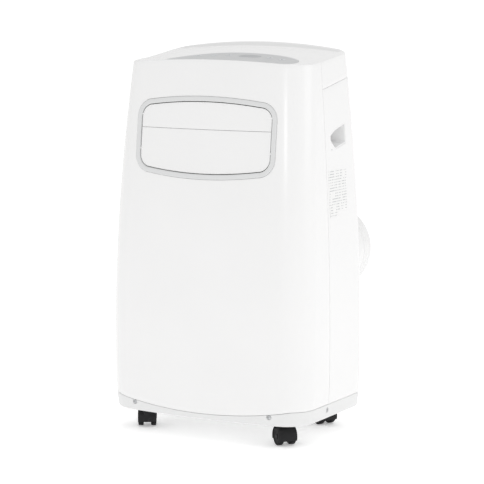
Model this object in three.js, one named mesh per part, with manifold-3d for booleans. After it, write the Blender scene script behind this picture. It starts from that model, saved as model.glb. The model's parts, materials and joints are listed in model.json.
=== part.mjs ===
// Portable air conditioner on four swivel castors, in millimetres, +Z up.
// The front faces -Y and +X is on the viewer's right. The origin is the middle of the
// bounding box at floor level.
import * as THREE from 'three';
import { mergeVertices } from 'three/addons/utils/BufferGeometryUtils.js';
import Module from 'manifold-3d';

const wasm = await Module();
wasm.setup();

// ---------------------------------------------------------------- driving dimensions
const BODY_HEIGHT = 748; // floor to the crest of the rear lip
const BODY_WIDTH = 432; // across the sides at the base
const BODY_DEPTH = 280; // middle of the front to the back, at the base
const COLLAR_REACH = 52; // exhaust collar beyond the back
const COLLAR_BORE = 66; // radius
const WHEEL_RADIUS = 17;

const DEPTH = BODY_DEPTH + COLLAR_REACH;
const FRONT_Y = -DEPTH / 2;
const BACK_Y = FRONT_Y + BODY_DEPTH;
const HALF_WIDTH = BODY_WIDTH / 2;

// Castor hood
const HOOD_CLEAR = 1.2; // wheel to hood
const HOOD_WALL = 2.6;
const HOOD_BOTTOM = 7.5; // floor to the hood's lower edge
const TRAY_CLEAR = 3.2; // hood to tray
const TRAY_UNDERSIDE = WHEEL_RADIUS * 2 + HOOD_CLEAR + HOOD_WALL + TRAY_CLEAR; // floor to tray

// Body shape
const LEAN_START = 190; // below this height the walls are upright
const LEAN_POWER = 1.85; // how late the lean comes on
const FRONT_LEAN = 45; // how far the front leans back by the top
const BACK_LEAN = 30;
const SIDE_TAPER = 24;
const FRONT_BOW = 18; // middle of the front ahead of its sides
const FRONT_RADIUS = 61;
const BACK_RADIUS = 30;
const TUCK = 6; // how far the skirt draws in at the bottom
const TUCK_TOP = 125;

// Top surface
const FRONT_EDGE_HEIGHT = BODY_HEIGHT - 39; // front edge of the top, at the sides
const CROWN = 10; // extra height in the middle of the width
const REAR_CROWN = 6;
const RIM_POWER = 1.5;
const DISH_SLOPE = 0.1;
const EDGE_BREAK = 2.5; // rounding of the outer top edge
const LIP_WIDTH = 27;

// Walls and fits
const WALL = 2.8;
const TOP_WALL = 4.2;
const FLOOR = 3.5;
const SEAM = 0.8; // visible line between shells
const GAP = 0.3; // between pieces that touch
const RUN = 0.4; // round a piece that turns or slides

// Shell partings
const SIDE_SEAM_Y = FRONT_Y + 126; // front panel meets rear cover
const TOP_PARTING_HEIGHT = FRONT_EDGE_HEIGHT - 45; // top cover meets the sides, at the side seam
const TOP_PARTING_SLOPE = 0.17;
const SKIRT_MIDDLE = TRAY_UNDERSIDE + 11; // top of the skirt at the middle of the front
const SKIRT_SIDE = TRAY_UNDERSIDE + 28;
const TRAY_LIP = 8; // upstand behind the panels
const TRAY_LIP_WALL = 2;

// Air outlet
const VENT_HALF_WIDTH = HALF_WIDTH - 65.5;
const VENT_TALL = 155;
const VENT_TOP = FRONT_EDGE_HEIGHT - 58;
const VENT_BOTTOM = VENT_TOP - VENT_TALL;
const VENT_RADIUS = 34;
const VENT_BOW = 8;
const VENT_BAND = 11;
const VENT_PROUD = 1.2;
const VENT_DEPTH = 16;
const FLAP_SEAM_HEIGHT = VENT_TOP - 62;
const FLAP_GAP = 1.8;
const FLAP_SEAM = 1.2;
const FLAP_RECESS = 1;
const FLAP_THICKNESS = 3;
const FLAP_PIN = 2; // radius
const PIN_REACH = 5;
const DUCT_WALL = 2.4;
const DUCT_END_Y = BACK_Y - 138;
const VANE_COUNT = 5;
const VANE_MARGIN = 35.5; // end of the outlet to the first vane's share of it
const VANE_PITCH = (VENT_HALF_WIDTH - VANE_MARGIN) * 2 / VANE_COUNT;
const VANE_THICKNESS = 2;
const VANE_Y = FRONT_Y + 102; // pivot line
const VANE_FRONT = 14; // blade ahead of the pivot
const VANE_BACK = 12;
const VANE_PIN = 2;
const LINK_RADIUS = 22; // pivot to link peg
const LINK_HEIGHT = VENT_BOTTOM + 76;
const LINK_BAR = 3; // thickness
const LINK_DEPTH = 11;
const PEG_RADIUS = 1.5;
const PEG_PLAY = 0.7;

// Control panel
const PANEL_MIDDLE_X = 32;
const PANEL_HALF_WIDTH = HALF_WIDTH - 84;
const PANEL_DEPTH = 98;
const PANEL_MARGIN = 4; // behind the front edge of the top
const PANEL_RECESS = 2.2;
const PANEL_PROUD = 0.3;
const BUTTON_RADIUS = 7;
const BUTTON_PROUD = 1;
const BUTTON_LENGTH = 9;
const BUTTON_NAMES = ['power', 'mode', 'fan', 'up', 'down'];
const BUTTON_X = [-84, -54, -24, 66, 94].map((x) => PANEL_MIDDLE_X + x);
const BUTTON_Y = [98, 105, 109, 106, 100].map((y) => FRONT_Y + y);
const DISPLAY_X = PANEL_MIDDLE_X + 21;
const DISPLAY_Y = FRONT_Y + 109;
const DISPLAY_HALF_WIDTH = 22;
const DISPLAY_HALF_DEPTH = 13;

// Deck between the cool upper half and the hot lower half
const DECK_HEIGHT = VENT_BOTTOM - 60;

// Exhaust collar
const COLLAR_RADIUS = COLLAR_BORE + 14;
const COLLAR_X = HALF_WIDTH - COLLAR_RADIUS - 14;
const COLLAR_HEIGHT = DECK_HEIGHT - COLLAR_RADIUS - 13;
const SPIGOT_WALL = 4;
const SPIGOT_REACH = 16;

// Rear intakes
const INTAKE_MARGIN = 9;
const GRILLE_THICKNESS = 3.4;
const SLOT_HEIGHT = 14;
const SLOT_RIB = 13;
const UPPER_INTAKE = {
  left: 70 - HALF_WIDTH, right: HALF_WIDTH - 70, bottom: DECK_HEIGHT + 34, top: VENT_TOP - 5, columns: 4,
};
const LOWER_INTAKE = {
  left: 40 - HALF_WIDTH, right: COLLAR_X - COLLAR_RADIUS - 18, bottom: SKIRT_SIDE + 43,
  top: DECK_HEIGHT - 16, columns: 3,
};


// Grip cups in the sides
const GRIP_FRONT_Y = FRONT_Y + 148;
const GRIP_BACK_Y = GRIP_FRONT_Y + 60;
const GRIP_HEIGHT = VENT_BOTTOM + 76;
const GRIP_TALL = 34;
const GRIP_DEPTH = 30;
const GRIP_WALL = 2;

// Castors
const CASTOR_X = HALF_WIDTH - 66;
const CASTOR_FRONT_Y = FRONT_Y + 61;
const CASTOR_BACK_Y = BACK_Y - 32;
const WHEEL_WIDTH = 10;
const WEB_WIDTH = 14;
const TRAIL = 11;
const AXLE_RADIUS = 2.5;
const STEM_RADIUS = 4;
const STEM_LENGTH = 18;
const NECK_RADIUS = 10;
const SOCKET_RADIUS = 9;
const CASTORS = [
  { name: 'front_left', side: -1, y: CASTOR_FRONT_Y, turn: 29 },
  { name: 'front_right', side: 1, y: CASTOR_FRONT_Y, turn: 231 },
  { name: 'back_left', side: -1, y: CASTOR_BACK_Y, turn: 12 },
  { name: 'back_right', side: 1, y: CASTOR_BACK_Y, turn: 62 },
];

// Screws
const SCREW_X = HALF_WIDTH - 69;
const SCREW_HEIGHT = TRAY_UNDERSIDE + 17.5;
const SIDE_SCREW_Y = SIDE_SEAM_Y - 2;
const SCREW_HEAD = 4.2; // radius
const SCREW_SHANK = 2;
const SCREW_LENGTH = 12;
const SCREW_BOSS = 13;

// Back fittings
const DRAIN_RADIUS = 12;
const DRAIN_PLUG = 8;
const DRAIN_REACH = 7;
const DRAINS = [
  { name: 'upper', x: COLLAR_X + 28, height: COLLAR_HEIGHT - COLLAR_RADIUS - 27 },
  { name: 'lower', x: COLLAR_X - 30, height: SKIRT_SIDE + 23 },
];
const GLAND_X = COLLAR_X + 38;
const GLAND_HEIGHT = (DRAINS[0].height + DRAINS[1].height) / 2 - 14;
const GLAND_RADIUS = 10;
const GLAND_BORE = 4;

// Inside
const DECK_THICKNESS = 4;
const DECK_CLEAR = 1.5;
const COIL_THICKNESS = 24;
const COIL_CLEAR = 12; // behind the grille
const COIL_PLATE = 3;
const TUBE_PITCH = 70;
const COMPRESSOR_X = 124 - HALF_WIDTH;
const COMPRESSOR_Y = FRONT_Y + 146;
const COMPRESSOR_RADIUS = 56;
const COMPRESSOR_TALL = 196;
const COMPRESSOR_FEET = 12;
const PIPE_RADIUS = 4;
const ROOM_FAN = {
  x: 0, height: VENT_BOTTOM + 74, radius: 66, width: 40, startY: DUCT_END_Y + 26, motorRadius: 30,
  motorLength: 22,
};
const EXHAUST_FAN = {
  x: COLLAR_X, height: COLLAR_HEIGHT, radius: COLLAR_BORE - 6, width: 42, startY: BACK_Y - 80,
  motorRadius: 32, motorLength: 48,
};
const SHAFT_RADIUS = 4;
const BLADE_COUNT = 9;

// Facets
const FRONT_STEPS = 3; // half of the bowed front
const CORNER_STEPS = 4;
const BACK_STEPS = 2;
const LEAN_LEVELS = 6;
const ROUND_SIDES = 12;
const WHEEL_SIDES = 18;
const PIN_SIDES = 8;

// Worked out from the dimensions above
const RIM_RISE = BODY_HEIGHT - FRONT_EDGE_HEIGHT - CROWN - REAR_CROWN;
const TOP_FRONT_Y = FRONT_Y + FRONT_LEAN * 0.9;
const TOP_BACK_Y = BACK_Y - BACK_LEAN * 0.95;
const FAR = 600; // longer than the object, for cutting
const INSIDE_FLOOR = TRAY_UNDERSIDE + FLOOR;

// ---------------------------------------------------------------- solids
function toSolid(geometry) {
  const bare = geometry.clone();
  bare.deleteAttribute('normal');
  bare.deleteAttribute('uv');
  const welded = mergeVertices(bare, 1e-4);
  const corners = welded.index.array;
  const kept = [];
  for (let i = 0; i < corners.length; i += 3) {
    const [a, b, c] = [corners[i], corners[i + 1], corners[i + 2]];
    if (a !== b && b !== c && c !== a) kept.push(a, b, c);
  }
  return new wasm.Manifold(new wasm.Mesh({
    numProp: 3,
    vertProperties: new Float32Array(welded.attributes.position.array),
    triVerts: new Uint32Array(kept),
  }));
}

function toGeometry(solid) {
  const { vertProperties, triVerts } = solid.getMesh();
  const geometry = new THREE.BufferGeometry();
  geometry.setAttribute('position', new THREE.BufferAttribute(vertProperties, 3));
  geometry.setIndex(new THREE.BufferAttribute(triVerts, 1));
  geometry.computeVertexNormals();
  return geometry;
}

const joined = (solids) => solids.reduce((whole, piece) => whole.add(piece));

function block(x0, x1, y0, y1, z0, z1) {
  const box = new THREE.BoxGeometry(x1 - x0, y1 - y0, z1 - z0);
  return toSolid(box.translate((x0 + x1) / 2, (y0 + y1) / 2, (z0 + z1) / 2));
}

// A round bar between two points
function rod(radius, from, to, sides = ROUND_SIDES) {
  const axis = new THREE.Vector3().subVectors(to, from);
  const bar = new THREE.CylinderGeometry(radius, radius, axis.length(), sides);
  const turn = new THREE.Quaternion().setFromUnitVectors(
    new THREE.Vector3(0, 1, 0), axis.clone().normalize());
  const middle = new THREE.Vector3().addVectors(from, to).multiplyScalar(0.5);
  return toSolid(bar.applyQuaternion(turn).translate(middle.x, middle.y, middle.z));
}

const at = (x, y, z) => new THREE.Vector3(x, y, z);
const rodX = (radius, x0, x1, y, z, sides) => rod(radius, at(x0, y, z), at(x1, y, z), sides);
const rodY = (radius, x, y0, y1, z, sides) => rod(radius, at(x, y0, z), at(x, y1, z), sides);
const rodZ = (radius, x, y, z0, z1, sides) => rod(radius, at(x, y, z0), at(x, y, z1), sides);

function extruded(shape, depth, axes, offset, curveSegments) {
  const geometry = new THREE.ExtrudeGeometry(shape, { depth, bevelEnabled: false, curveSegments });
  geometry.applyMatrix4(new THREE.Matrix4().makeBasis(...axes));
  return toSolid(geometry.translate(offset.x, offset.y, offset.z));
}

// Shapes drawn in XZ, YZ or XY and pushed along the third axis
const prismY = (shape, y0, y1, curveSegments = 4) => extruded(
  shape, y1 - y0, [at(1, 0, 0), at(0, 0, 1), at(0, -1, 0)], at(0, y1, 0), curveSegments);
const prismX = (shape, x0, x1, curveSegments = 4) => extruded(
  shape, x1 - x0, [at(0, 1, 0), at(0, 0, 1), at(1, 0, 0)], at(x0, 0, 0), curveSegments);
const prismZ = (shape, z0, z1, curveSegments = 4) => extruded(
  shape, z1 - z0, [at(1, 0, 0), at(0, 1, 0), at(0, 0, 1)], at(0, 0, z0), curveSegments);

const polygon = (points) => new THREE.Shape(points.map(([u, v]) => new THREE.Vector2(u, v)));

function roundedRectangle(left, right, bottom, top, radius) {
  const shape = new THREE.Shape();
  shape.moveTo(left + radius, bottom);
  shape.lineTo(right - radius, bottom);
  shape.absarc(right - radius, bottom + radius, radius, -Math.PI / 2, 0);
  shape.lineTo(right, top - radius);
  shape.absarc(right - radius, top - radius, radius, 0, Math.PI / 2);
  shape.lineTo(left + radius, top);
  shape.absarc(left + radius, top - radius, radius, Math.PI / 2, Math.PI);
  shape.lineTo(left, bottom + radius);
  shape.absarc(left + radius, bottom + radius, radius, Math.PI, 1.5 * Math.PI);
  return shape;
}

// A closed skin over rings of equal length, anticlockwise seen from above, inner or lowest first
function skin(rings, firstMiddle, lastMiddle) {
  const count = rings[0].length;
  const points = [firstMiddle, ...rings.flat(), lastMiddle];
  const last = points.length - 1;
  const faces = [];
  for (let i = 0; i < count; i += 1) {
    const next = (i + 1) % count;
    faces.push(0, 1 + next, 1 + i);
    const top = 1 + (rings.length - 1) * count;
    faces.push(last, top + i, top + next);
    for (let ring = 0; ring < rings.length - 1; ring += 1) {
      const low = 1 + ring * count;
      const high = low + count;
      faces.push(low + i, low + next, high + next);
      faces.push(low + i, high + next, high + i);
    }
  }
  const geometry = new THREE.BufferGeometry();
  const coordinates = points.flatMap((point) => [point.x, point.y, point.z]);
  geometry.setAttribute('position', new THREE.Float32BufferAttribute(coordinates, 3));
  geometry.setIndex(faces);
  return toSolid(geometry);
}

// ---------------------------------------------------------------- body surface
const clamp01 = (value) => Math.min(1, Math.max(0, value));
const leanShare = (height) => Math.max(0, (height - LEAN_START) / (BODY_HEIGHT - LEAN_START)) ** LEAN_POWER;
const tuckAt = (height) => TUCK * clamp01((TUCK_TOP - height) / (TUCK_TOP - TRAY_UNDERSIDE)) ** 2;

// Half width, front, back and corner sizes of the plan at a height, drawn in by inset
function planAt(height, inset) {
  const lean = leanShare(height);
  const draw = inset + tuckAt(height);
  return {
    full: BODY_WIDTH / 2 - SIDE_TAPER * lean,
    half: BODY_WIDTH / 2 - SIDE_TAPER * lean - draw,
    front: FRONT_Y + FRONT_LEAN * lean + draw,
    back: BACK_Y - BACK_LEAN * lean - draw,
    frontRadius: Math.max(FRONT_RADIUS - draw, 2),
    backRadius: Math.max(BACK_RADIUS - draw, 2),
  };
}

function faceY(x, height, inset = 0) {
  const plan = planAt(height, inset);
  return plan.front + FRONT_BOW * (x / plan.full) ** 2;
}

// Right half of the plan from the middle of the front to the middle of the back
function halfOutline(height, inset) {
  const { full, half, front, back, frontRadius, backRadius } = planAt(height, inset);
  const arcX = half - frontRadius;
  let tilt = 0;
  let edgeX = arcX;
  for (let i = 0; i < 5; i += 1) {
    tilt = Math.atan((2 * FRONT_BOW * edgeX) / full ** 2);
    edgeX = arcX + frontRadius * Math.sin(tilt);
  }
  const arcY = front + FRONT_BOW * (edgeX / full) ** 2 + frontRadius * Math.cos(tilt);
  const points = [];
  for (let i = 0; i <= FRONT_STEPS; i += 1) {
    const x = (edgeX * i) / FRONT_STEPS;
    points.push([x, front + FRONT_BOW * (x / full) ** 2]);
  }
  for (let i = 1; i <= CORNER_STEPS; i += 1) {
    const angle = -Math.PI / 2 + tilt + ((Math.PI / 2 - tilt) * i) / CORNER_STEPS;
    points.push([arcX + frontRadius * Math.cos(angle), arcY + frontRadius * Math.sin(angle)]);
  }
  for (let i = 0; i <= BACK_STEPS; i += 1) {
    const angle = ((Math.PI / 2) * i) / BACK_STEPS;
    const x = half - backRadius + backRadius * Math.cos(angle);
    points.push([x, back - backRadius + backRadius * Math.sin(angle)]);
  }
  points.push([0, back]);
  return points;
}

function bodyOutline(height, inset) {
  const right = halfOutline(height, inset);
  const left = right.slice(1, -1).reverse().map(([x, y]) => [-x, y]);
  return [...right, ...left];
}

const LEVELS = [
  TRAY_UNDERSIDE, TRAY_UNDERSIDE + 32, TUCK_TOP, LEAN_START,
  ...Array.from({ length: LEAN_LEVELS }, (_, i) => LEAN_START
    + ((BODY_HEIGHT + 32 - LEAN_START) * (i + 1)) / LEAN_LEVELS),
];

// Everything inside the body's surface, drawn in by inset
const loftCache = new Map();
function bodyLoft(inset) {
  if (!loftCache.has(inset)) {
    const rings = LEVELS.map((z) => bodyOutline(z, inset).map(([x, y]) => at(x, y, z)));
    const middleY = (FRONT_Y + BACK_Y) / 2;
    const lowest = at(0, middleY, LEVELS[0]);
    const highest = at(0, middleY, LEVELS[LEVELS.length - 1]);
    loftCache.set(inset, skin(rings, lowest, highest));
  }
  return loftCache.get(inset);
}

// Height of the top surface: a dish inside a lip that rises to the rear
function topHeight(x, y, inset) {
  const back = clamp01((y - TOP_FRONT_Y) / (TOP_BACK_Y - TOP_FRONT_Y));
  const arch = clamp01(1 - (x / (BODY_WIDTH / 2 - SIDE_TAPER)) ** 2);
  const edge = FRONT_EDGE_HEIGHT + CROWN * arch;
  const rim = edge + (RIM_RISE + REAR_CROWN * arch) * back ** RIM_POWER;
  const dish = Math.min(edge + DISH_SLOPE * (TOP_BACK_Y - TOP_FRONT_Y) * back, rim);
  const share = clamp01((inset - EDGE_BREAK) / (LIP_WIDTH - EDGE_BREAK));
  const blend = share * share * (3 - 2 * share);
  const rounding = inset < EDGE_BREAK ? EDGE_BREAK - Math.max(inset, 0) : 0;
  return rim + (dish - rim) * blend - rounding * 0.6;
}

// Everything above the top surface, shifted up or down by lift
function aboveTop(lift) {
  const planHeight = FRONT_EDGE_HEIGHT + CROWN;
  const insets = [LIP_WIDTH, LIP_WIDTH / 2, EDGE_BREAK, 0, -14];
  const inner = bodyOutline(planHeight, LIP_WIDTH);
  const middleY = (TOP_FRONT_Y + TOP_BACK_Y) / 2;
  const scaled = [0.5].map((scale) => inner.map(([x, y]) => {
    const [sx, sy] = [x * scale, middleY + (y - middleY) * scale];
    return at(sx, sy, topHeight(sx, sy, LIP_WIDTH) + lift);
  }));
  const edges = insets.map((inset) => bodyOutline(planHeight, inset)
    .map(([x, y]) => at(x, y, topHeight(x, y, inset) + lift)));
  const ceiling = edges[edges.length - 1].map(({ x, y }) => at(x, y, BODY_HEIGHT + 60));
  const centre = at(0, middleY, topHeight(0, middleY, LIP_WIDTH) + lift);
  return skin([...scaled, ...edges, ceiling], centre, at(0, middleY, BODY_HEIGHT + 60));
}

// ---------------------------------------------------------------- cutting zones
function skirtLine(x) {
  const share = Math.min(1, Math.abs(x) / (BODY_WIDTH / 2 - BACK_RADIUS));
  return SKIRT_MIDDLE + (SKIRT_SIDE - SKIRT_MIDDLE) * share ** 2;
}

function belowSkirt(lift) {
  const points = [];
  for (let i = -4; i <= 4; i += 1) {
    const x = ((BODY_WIDTH / 2 - BACK_RADIUS) * i) / 4;
    points.push([x, skirtLine(x) + lift]);
  }
  const side = SKIRT_SIDE + lift;
  return prismY(polygon([[-FAR, 0], [FAR, 0], [FAR, side], ...points.reverse(), [-FAR, side]]), -FAR, FAR);
}

const partingHeight = (y) => TOP_PARTING_HEIGHT + TOP_PARTING_SLOPE * (y - SIDE_SEAM_Y);
const aboveParting = (lift) => prismX(polygon([
  [-FAR, partingHeight(-FAR) + lift], [FAR, partingHeight(FAR) + lift], [FAR, 2 * FAR], [-FAR, 2 * FAR],
]), -FAR, FAR);
const behindSeam = (shift) => block(-FAR, FAR, SIDE_SEAM_Y + shift, FAR, 0, 2 * FAR);
const beforeSeam = (shift) => block(-FAR, FAR, -FAR, SIDE_SEAM_Y - shift, 0, 2 * FAR);

// ---------------------------------------------------------------- air outlet outline
function ventShape(inset) {
  const half = VENT_HALF_WIDTH - inset;
  const radius = Math.max(VENT_RADIUS - inset, 3);
  const low = VENT_BOTTOM + inset;
  const high = VENT_TOP - inset;
  const shape = new THREE.Shape();
  shape.moveTo(-half + radius, low + VENT_BOW);
  shape.quadraticCurveTo(0, low - VENT_BOW, half - radius, low + VENT_BOW);
  shape.absarc(half - radius, low + VENT_BOW + radius, radius, -Math.PI / 2, 0);
  shape.lineTo(half, high - VENT_BOW - radius);
  shape.absarc(half - radius, high - VENT_BOW - radius, radius, 0, Math.PI / 2);
  shape.quadraticCurveTo(0, high + VENT_BOW, -half + radius, high - VENT_BOW);
  shape.absarc(-half + radius, high - VENT_BOW - radius, radius, Math.PI / 2, Math.PI);
  shape.lineTo(-half, low + VENT_BOW + radius);
  shape.absarc(-half + radius, low + VENT_BOW + radius, radius, Math.PI, 1.5 * Math.PI);
  return shape;
}

// Drop of the bowed upper or lower edge at x, below or above its middle
const ventBowAt = (x, inset) => VENT_BOW * clamp01(Math.abs(x) / (VENT_HALF_WIDTH - inset
  - Math.max(VENT_RADIUS - inset, 3))) ** 2;
const ventPrism = (inset) => prismY(ventShape(inset), -FAR, 0);
const DUCT_INSET = VENT_BAND - 1;

// ---------------------------------------------------------------- node list
const assembly = new THREE.Group();

function add(name, solid, color, roughness = 0.4, metalness = 0) {
  const material = new THREE.MeshStandardMaterial({ color, roughness, metalness });
  const mesh = new THREE.Mesh(toGeometry(solid), material);
  mesh.name = name;
  assembly.add(mesh);
  return mesh;
}

const WHITE = 0xf3f4f3;
const TRIM = 0xdfe1e1;
const GREY = 0xc6c9cb;
const BLACK = 0x202022;
const STEEL = 0xb9bcbf;
const COPPER = 0xb87345;

// ---------------------------------------------------------------- shells
const body = bodyLoft(0).subtract(aboveTop(0));
const wallRing = body.subtract(bodyLoft(WALL));
const cavity = bodyLoft(WALL).subtract(aboveTop(-TOP_WALL));

function screwPlaces() {
  const frontY = faceY(SCREW_X, SCREW_HEIGHT);
  const plan = planAt(SCREW_HEIGHT, 0);
  return [-1, 1].flatMap((side) => [
    {
      name: side < 0 ? 'front_left' : 'front_right',
      face: at(side * SCREW_X, frontY, SCREW_HEIGHT),
      inward: at(0, 1, 0),
    },
    {
      name: side < 0 ? 'side_left' : 'side_right',
      face: at(side * plan.half, SIDE_SCREW_Y, SCREW_HEIGHT),
      inward: at(-side, 0, 0),
    },
  ]);
}

const along = (place, distance) => place.face.clone().addScaledVector(place.inward, distance);
const SCREW_SINK = 1.6; // head below the skirt's face

function screwHole(place) {
  const head = rod(SCREW_HEAD + GAP + 0.5, along(place, -10), along(place, SCREW_SINK + 2.2));
  const shank = rod(SCREW_SHANK + GAP, along(place, 0), along(place, SCREW_LENGTH + 1), PIN_SIDES);
  return head.add(shank);
}

function screwBoss(place) {
  return rod(SCREW_BOSS / 2, along(place, WALL + GAP + 1), along(place, SCREW_BOSS + 3));
}

function baseTray() {
  const skirt = bodyLoft(0).intersect(belowSkirt(0));
  const lip = bodyLoft(WALL + GAP).intersect(belowSkirt(TRAY_LIP));
  const inside = bodyLoft(WALL + GAP + TRAY_LIP_WALL)
    .intersect(block(-FAR, FAR, -FAR, FAR, INSIDE_FLOOR, FAR));
  const sockets = CASTORS.map(({ side, y }) => rodZ(
    SOCKET_RADIUS, side * CASTOR_X, y, TRAY_UNDERSIDE + 1, TRAY_UNDERSIDE + STEM_LENGTH + 5));
  const holes = CASTORS.map(({ side, y }) => rodZ(
    STEM_RADIUS + RUN, side * CASTOR_X, y, 0, TRAY_UNDERSIDE + STEM_LENGTH + 1));
  const places = screwPlaces();
  return joined([skirt.add(lip).subtract(inside), ...sockets, ...places.map(screwBoss)])
    .subtract(joined([...holes, ...places.map(screwHole)]));
}

function frontPanel() {
  return wallRing
    .intersect(beforeSeam(SEAM / 2))
    .subtract(belowSkirt(SEAM))
    .subtract(ventPrism(-GAP));
}

const intakeShape = ({ left, right, bottom, top }, margin) => roundedRectangle(
  left - margin, right + margin, bottom - margin, top + margin, 10 + margin);
const intakePrism = (intake, margin) => prismY(intakeShape(intake, margin), 0, FAR);

function gripShape(margin) {
  const low = GRIP_HEIGHT - GRIP_TALL / 2;
  const high = GRIP_HEIGHT + GRIP_TALL / 2;
  const drop = GRIP_TALL * 0.18;
  return polygon([
    [GRIP_FRONT_Y - margin, GRIP_HEIGHT - 4 - margin], [GRIP_FRONT_Y + 18, low - drop * 0.4 - margin],
    [GRIP_BACK_Y + margin, low + drop - margin], [GRIP_BACK_Y + margin, high + drop + margin],
    [GRIP_FRONT_Y + 20, high - drop * 0.5 + margin], [GRIP_FRONT_Y - margin, GRIP_HEIGHT + 4 + margin],
  ]);
}

function gripPrism(side, margin, depth) {
  const outer = BODY_WIDTH / 2 + 10;
  const inner = planAt(GRIP_HEIGHT, 0).half - depth;
  return side > 0 ? prismX(gripShape(margin), inner, outer) : prismX(gripShape(margin), -outer, -inner);
}

function rearCover() {
  const openings = joined([
    intakePrism(UPPER_INTAKE, GAP), intakePrism(LOWER_INTAKE, GAP),
    rodY(COLLAR_BORE + SPIGOT_WALL + GAP, COLLAR_X, 0, FAR, COLLAR_HEIGHT, 28),
    ...DRAINS.map(({ x, height }) => rodY(DRAIN_PLUG + GAP, x, 0, FAR, height)),
    rodY(GLAND_RADIUS - 2 + GAP, GLAND_X, 0, FAR, GLAND_HEIGHT),
    gripPrism(1, GRIP_WALL + GAP, 12), gripPrism(-1, GRIP_WALL + GAP, 12),
  ]);
  return wallRing
    .intersect(behindSeam(SEAM / 2))
    .subtract(belowSkirt(SEAM))
    .subtract(aboveParting(-SEAM / 2))
    .subtract(openings);
}

function panelShape(margin) {
  const left = PANEL_MIDDLE_X - PANEL_HALF_WIDTH - margin;
  const right = PANEL_MIDDLE_X + PANEL_HALF_WIDTH + margin;
  const planHeight = FRONT_EDGE_HEIGHT + CROWN;
  const frontAt = (x) => faceY(x, planHeight, PANEL_MARGIN) - margin;
  const back = faceY(0, planHeight, PANEL_MARGIN) + PANEL_DEPTH + margin;
  const shape = new THREE.Shape();
  shape.moveTo(left + 6, frontAt(left + 6));
  for (let i = 1; i <= 8; i += 1) {
    const x = left + 6 + ((right - 22 - left) * i) / 8;
    shape.lineTo(x, frontAt(x));
  }
  shape.quadraticCurveTo(right, frontAt(right) + 8, right, frontAt(right) + 30);
  shape.bezierCurveTo(right - 4, back - 12, right - 60, back, PANEL_MIDDLE_X, back);
  shape.bezierCurveTo(left + 70, back, left + 8, back - 22, left, frontAt(left) + 12);
  return shape;
}

const buttonPlaces = BUTTON_NAMES.map((name, i) => ({ name, x: BUTTON_X[i], y: BUTTON_Y[i] }));
const displayPrism = (margin) => prismZ(roundedRectangle(
  DISPLAY_X - DISPLAY_HALF_WIDTH - margin, DISPLAY_X + DISPLAY_HALF_WIDTH + margin,
  DISPLAY_Y - DISPLAY_HALF_DEPTH - margin, DISPLAY_Y + DISPLAY_HALF_DEPTH + margin,
  DISPLAY_HALF_DEPTH - 1 + margin), FRONT_EDGE_HEIGHT - 40, BODY_HEIGHT + 20);
const buttonHoles = () => joined(buttonPlaces.map(({ x, y }) => rodZ(
  BUTTON_RADIUS + RUN, x, y, FRONT_EDGE_HEIGHT - 40, BODY_HEIGHT + 20)));

function topCover() {
  const plate = bodyLoft(WALL + GAP).subtract(aboveTop(0)).intersect(aboveTop(-TOP_WALL));
  const sideBand = body.intersect(behindSeam(SEAM / 2)).intersect(aboveParting(SEAM / 2))
    .subtract(cavity);
  const recess = prismZ(panelShape(GAP), FRONT_EDGE_HEIGHT - 60, BODY_HEIGHT + 20)
    .intersect(aboveTop(-PANEL_RECESS));
  return plate.add(sideBand).subtract(recess).subtract(buttonHoles());
}

add('base_tray', baseTray(), WHITE);
add('front_panel', frontPanel(), WHITE);
add('rear_cover', rearCover(), WHITE);
add('top_cover', topCover(), WHITE);

// ---------------------------------------------------------------- control panel
const controlPanel = prismZ(panelShape(0), FRONT_EDGE_HEIGHT - 60, BODY_HEIGHT + 20)
  .subtract(aboveTop(PANEL_PROUD)).intersect(aboveTop(GAP - PANEL_RECESS));
const displayRecess = displayPrism(GAP).intersect(aboveTop(-1));
add('control_panel', controlPanel.subtract(buttonHoles()).subtract(displayRecess), GREY, 0.45);
add('display_window', displayPrism(0).subtract(aboveTop(PANEL_PROUD + 0.1)).intersect(aboveTop(GAP - 1)),
  0x8d9396, 0.2);

for (const { name, x, y } of buttonPlaces) {
  const stem = rodZ(BUTTON_RADIUS, x, y, FRONT_EDGE_HEIGHT - 40, BODY_HEIGHT + 20);
  add(`button_${name}`, stem.subtract(aboveTop(BUTTON_PROUD)).intersect(aboveTop(-BUTTON_LENGTH)), TRIM);
}

// ---------------------------------------------------------------- air outlet
const flapSpans = [
  { name: 'upper', low: FLAP_SEAM_HEIGHT + FLAP_SEAM / 2, high: VENT_TOP - VENT_BAND - FLAP_GAP },
  { name: 'lower', low: VENT_BOTTOM + VENT_BAND + FLAP_GAP, high: FLAP_SEAM_HEIGHT - FLAP_SEAM / 2 },
];
const FLAP_INSET = VENT_BAND + FLAP_GAP;
const FLAP_HALF_WIDTH = VENT_HALF_WIDTH - FLAP_INSET;
const flapPivots = flapSpans.map(({ name, low, high }) => {
  const z = (low + high) / 2;
  return { name, low, high, z, y: faceY(FLAP_HALF_WIDTH, z) + FLAP_RECESS + FLAP_THICKNESS / 2 };
});

function ventFrame() {
  const ring = ventPrism(0).subtract(ventPrism(VENT_BAND));
  const band = bodyLoft(-VENT_PROUD).subtract(bodyLoft(VENT_DEPTH));
  const sockets = flapPivots.map(({ y, z }) => rodX(
    FLAP_PIN + RUN, -FLAP_HALF_WIDTH - PIN_REACH - 1, FLAP_HALF_WIDTH + PIN_REACH + 1, y, z, PIN_SIDES));
  return ring.intersect(band).subtract(joined(sockets));
}

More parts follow.
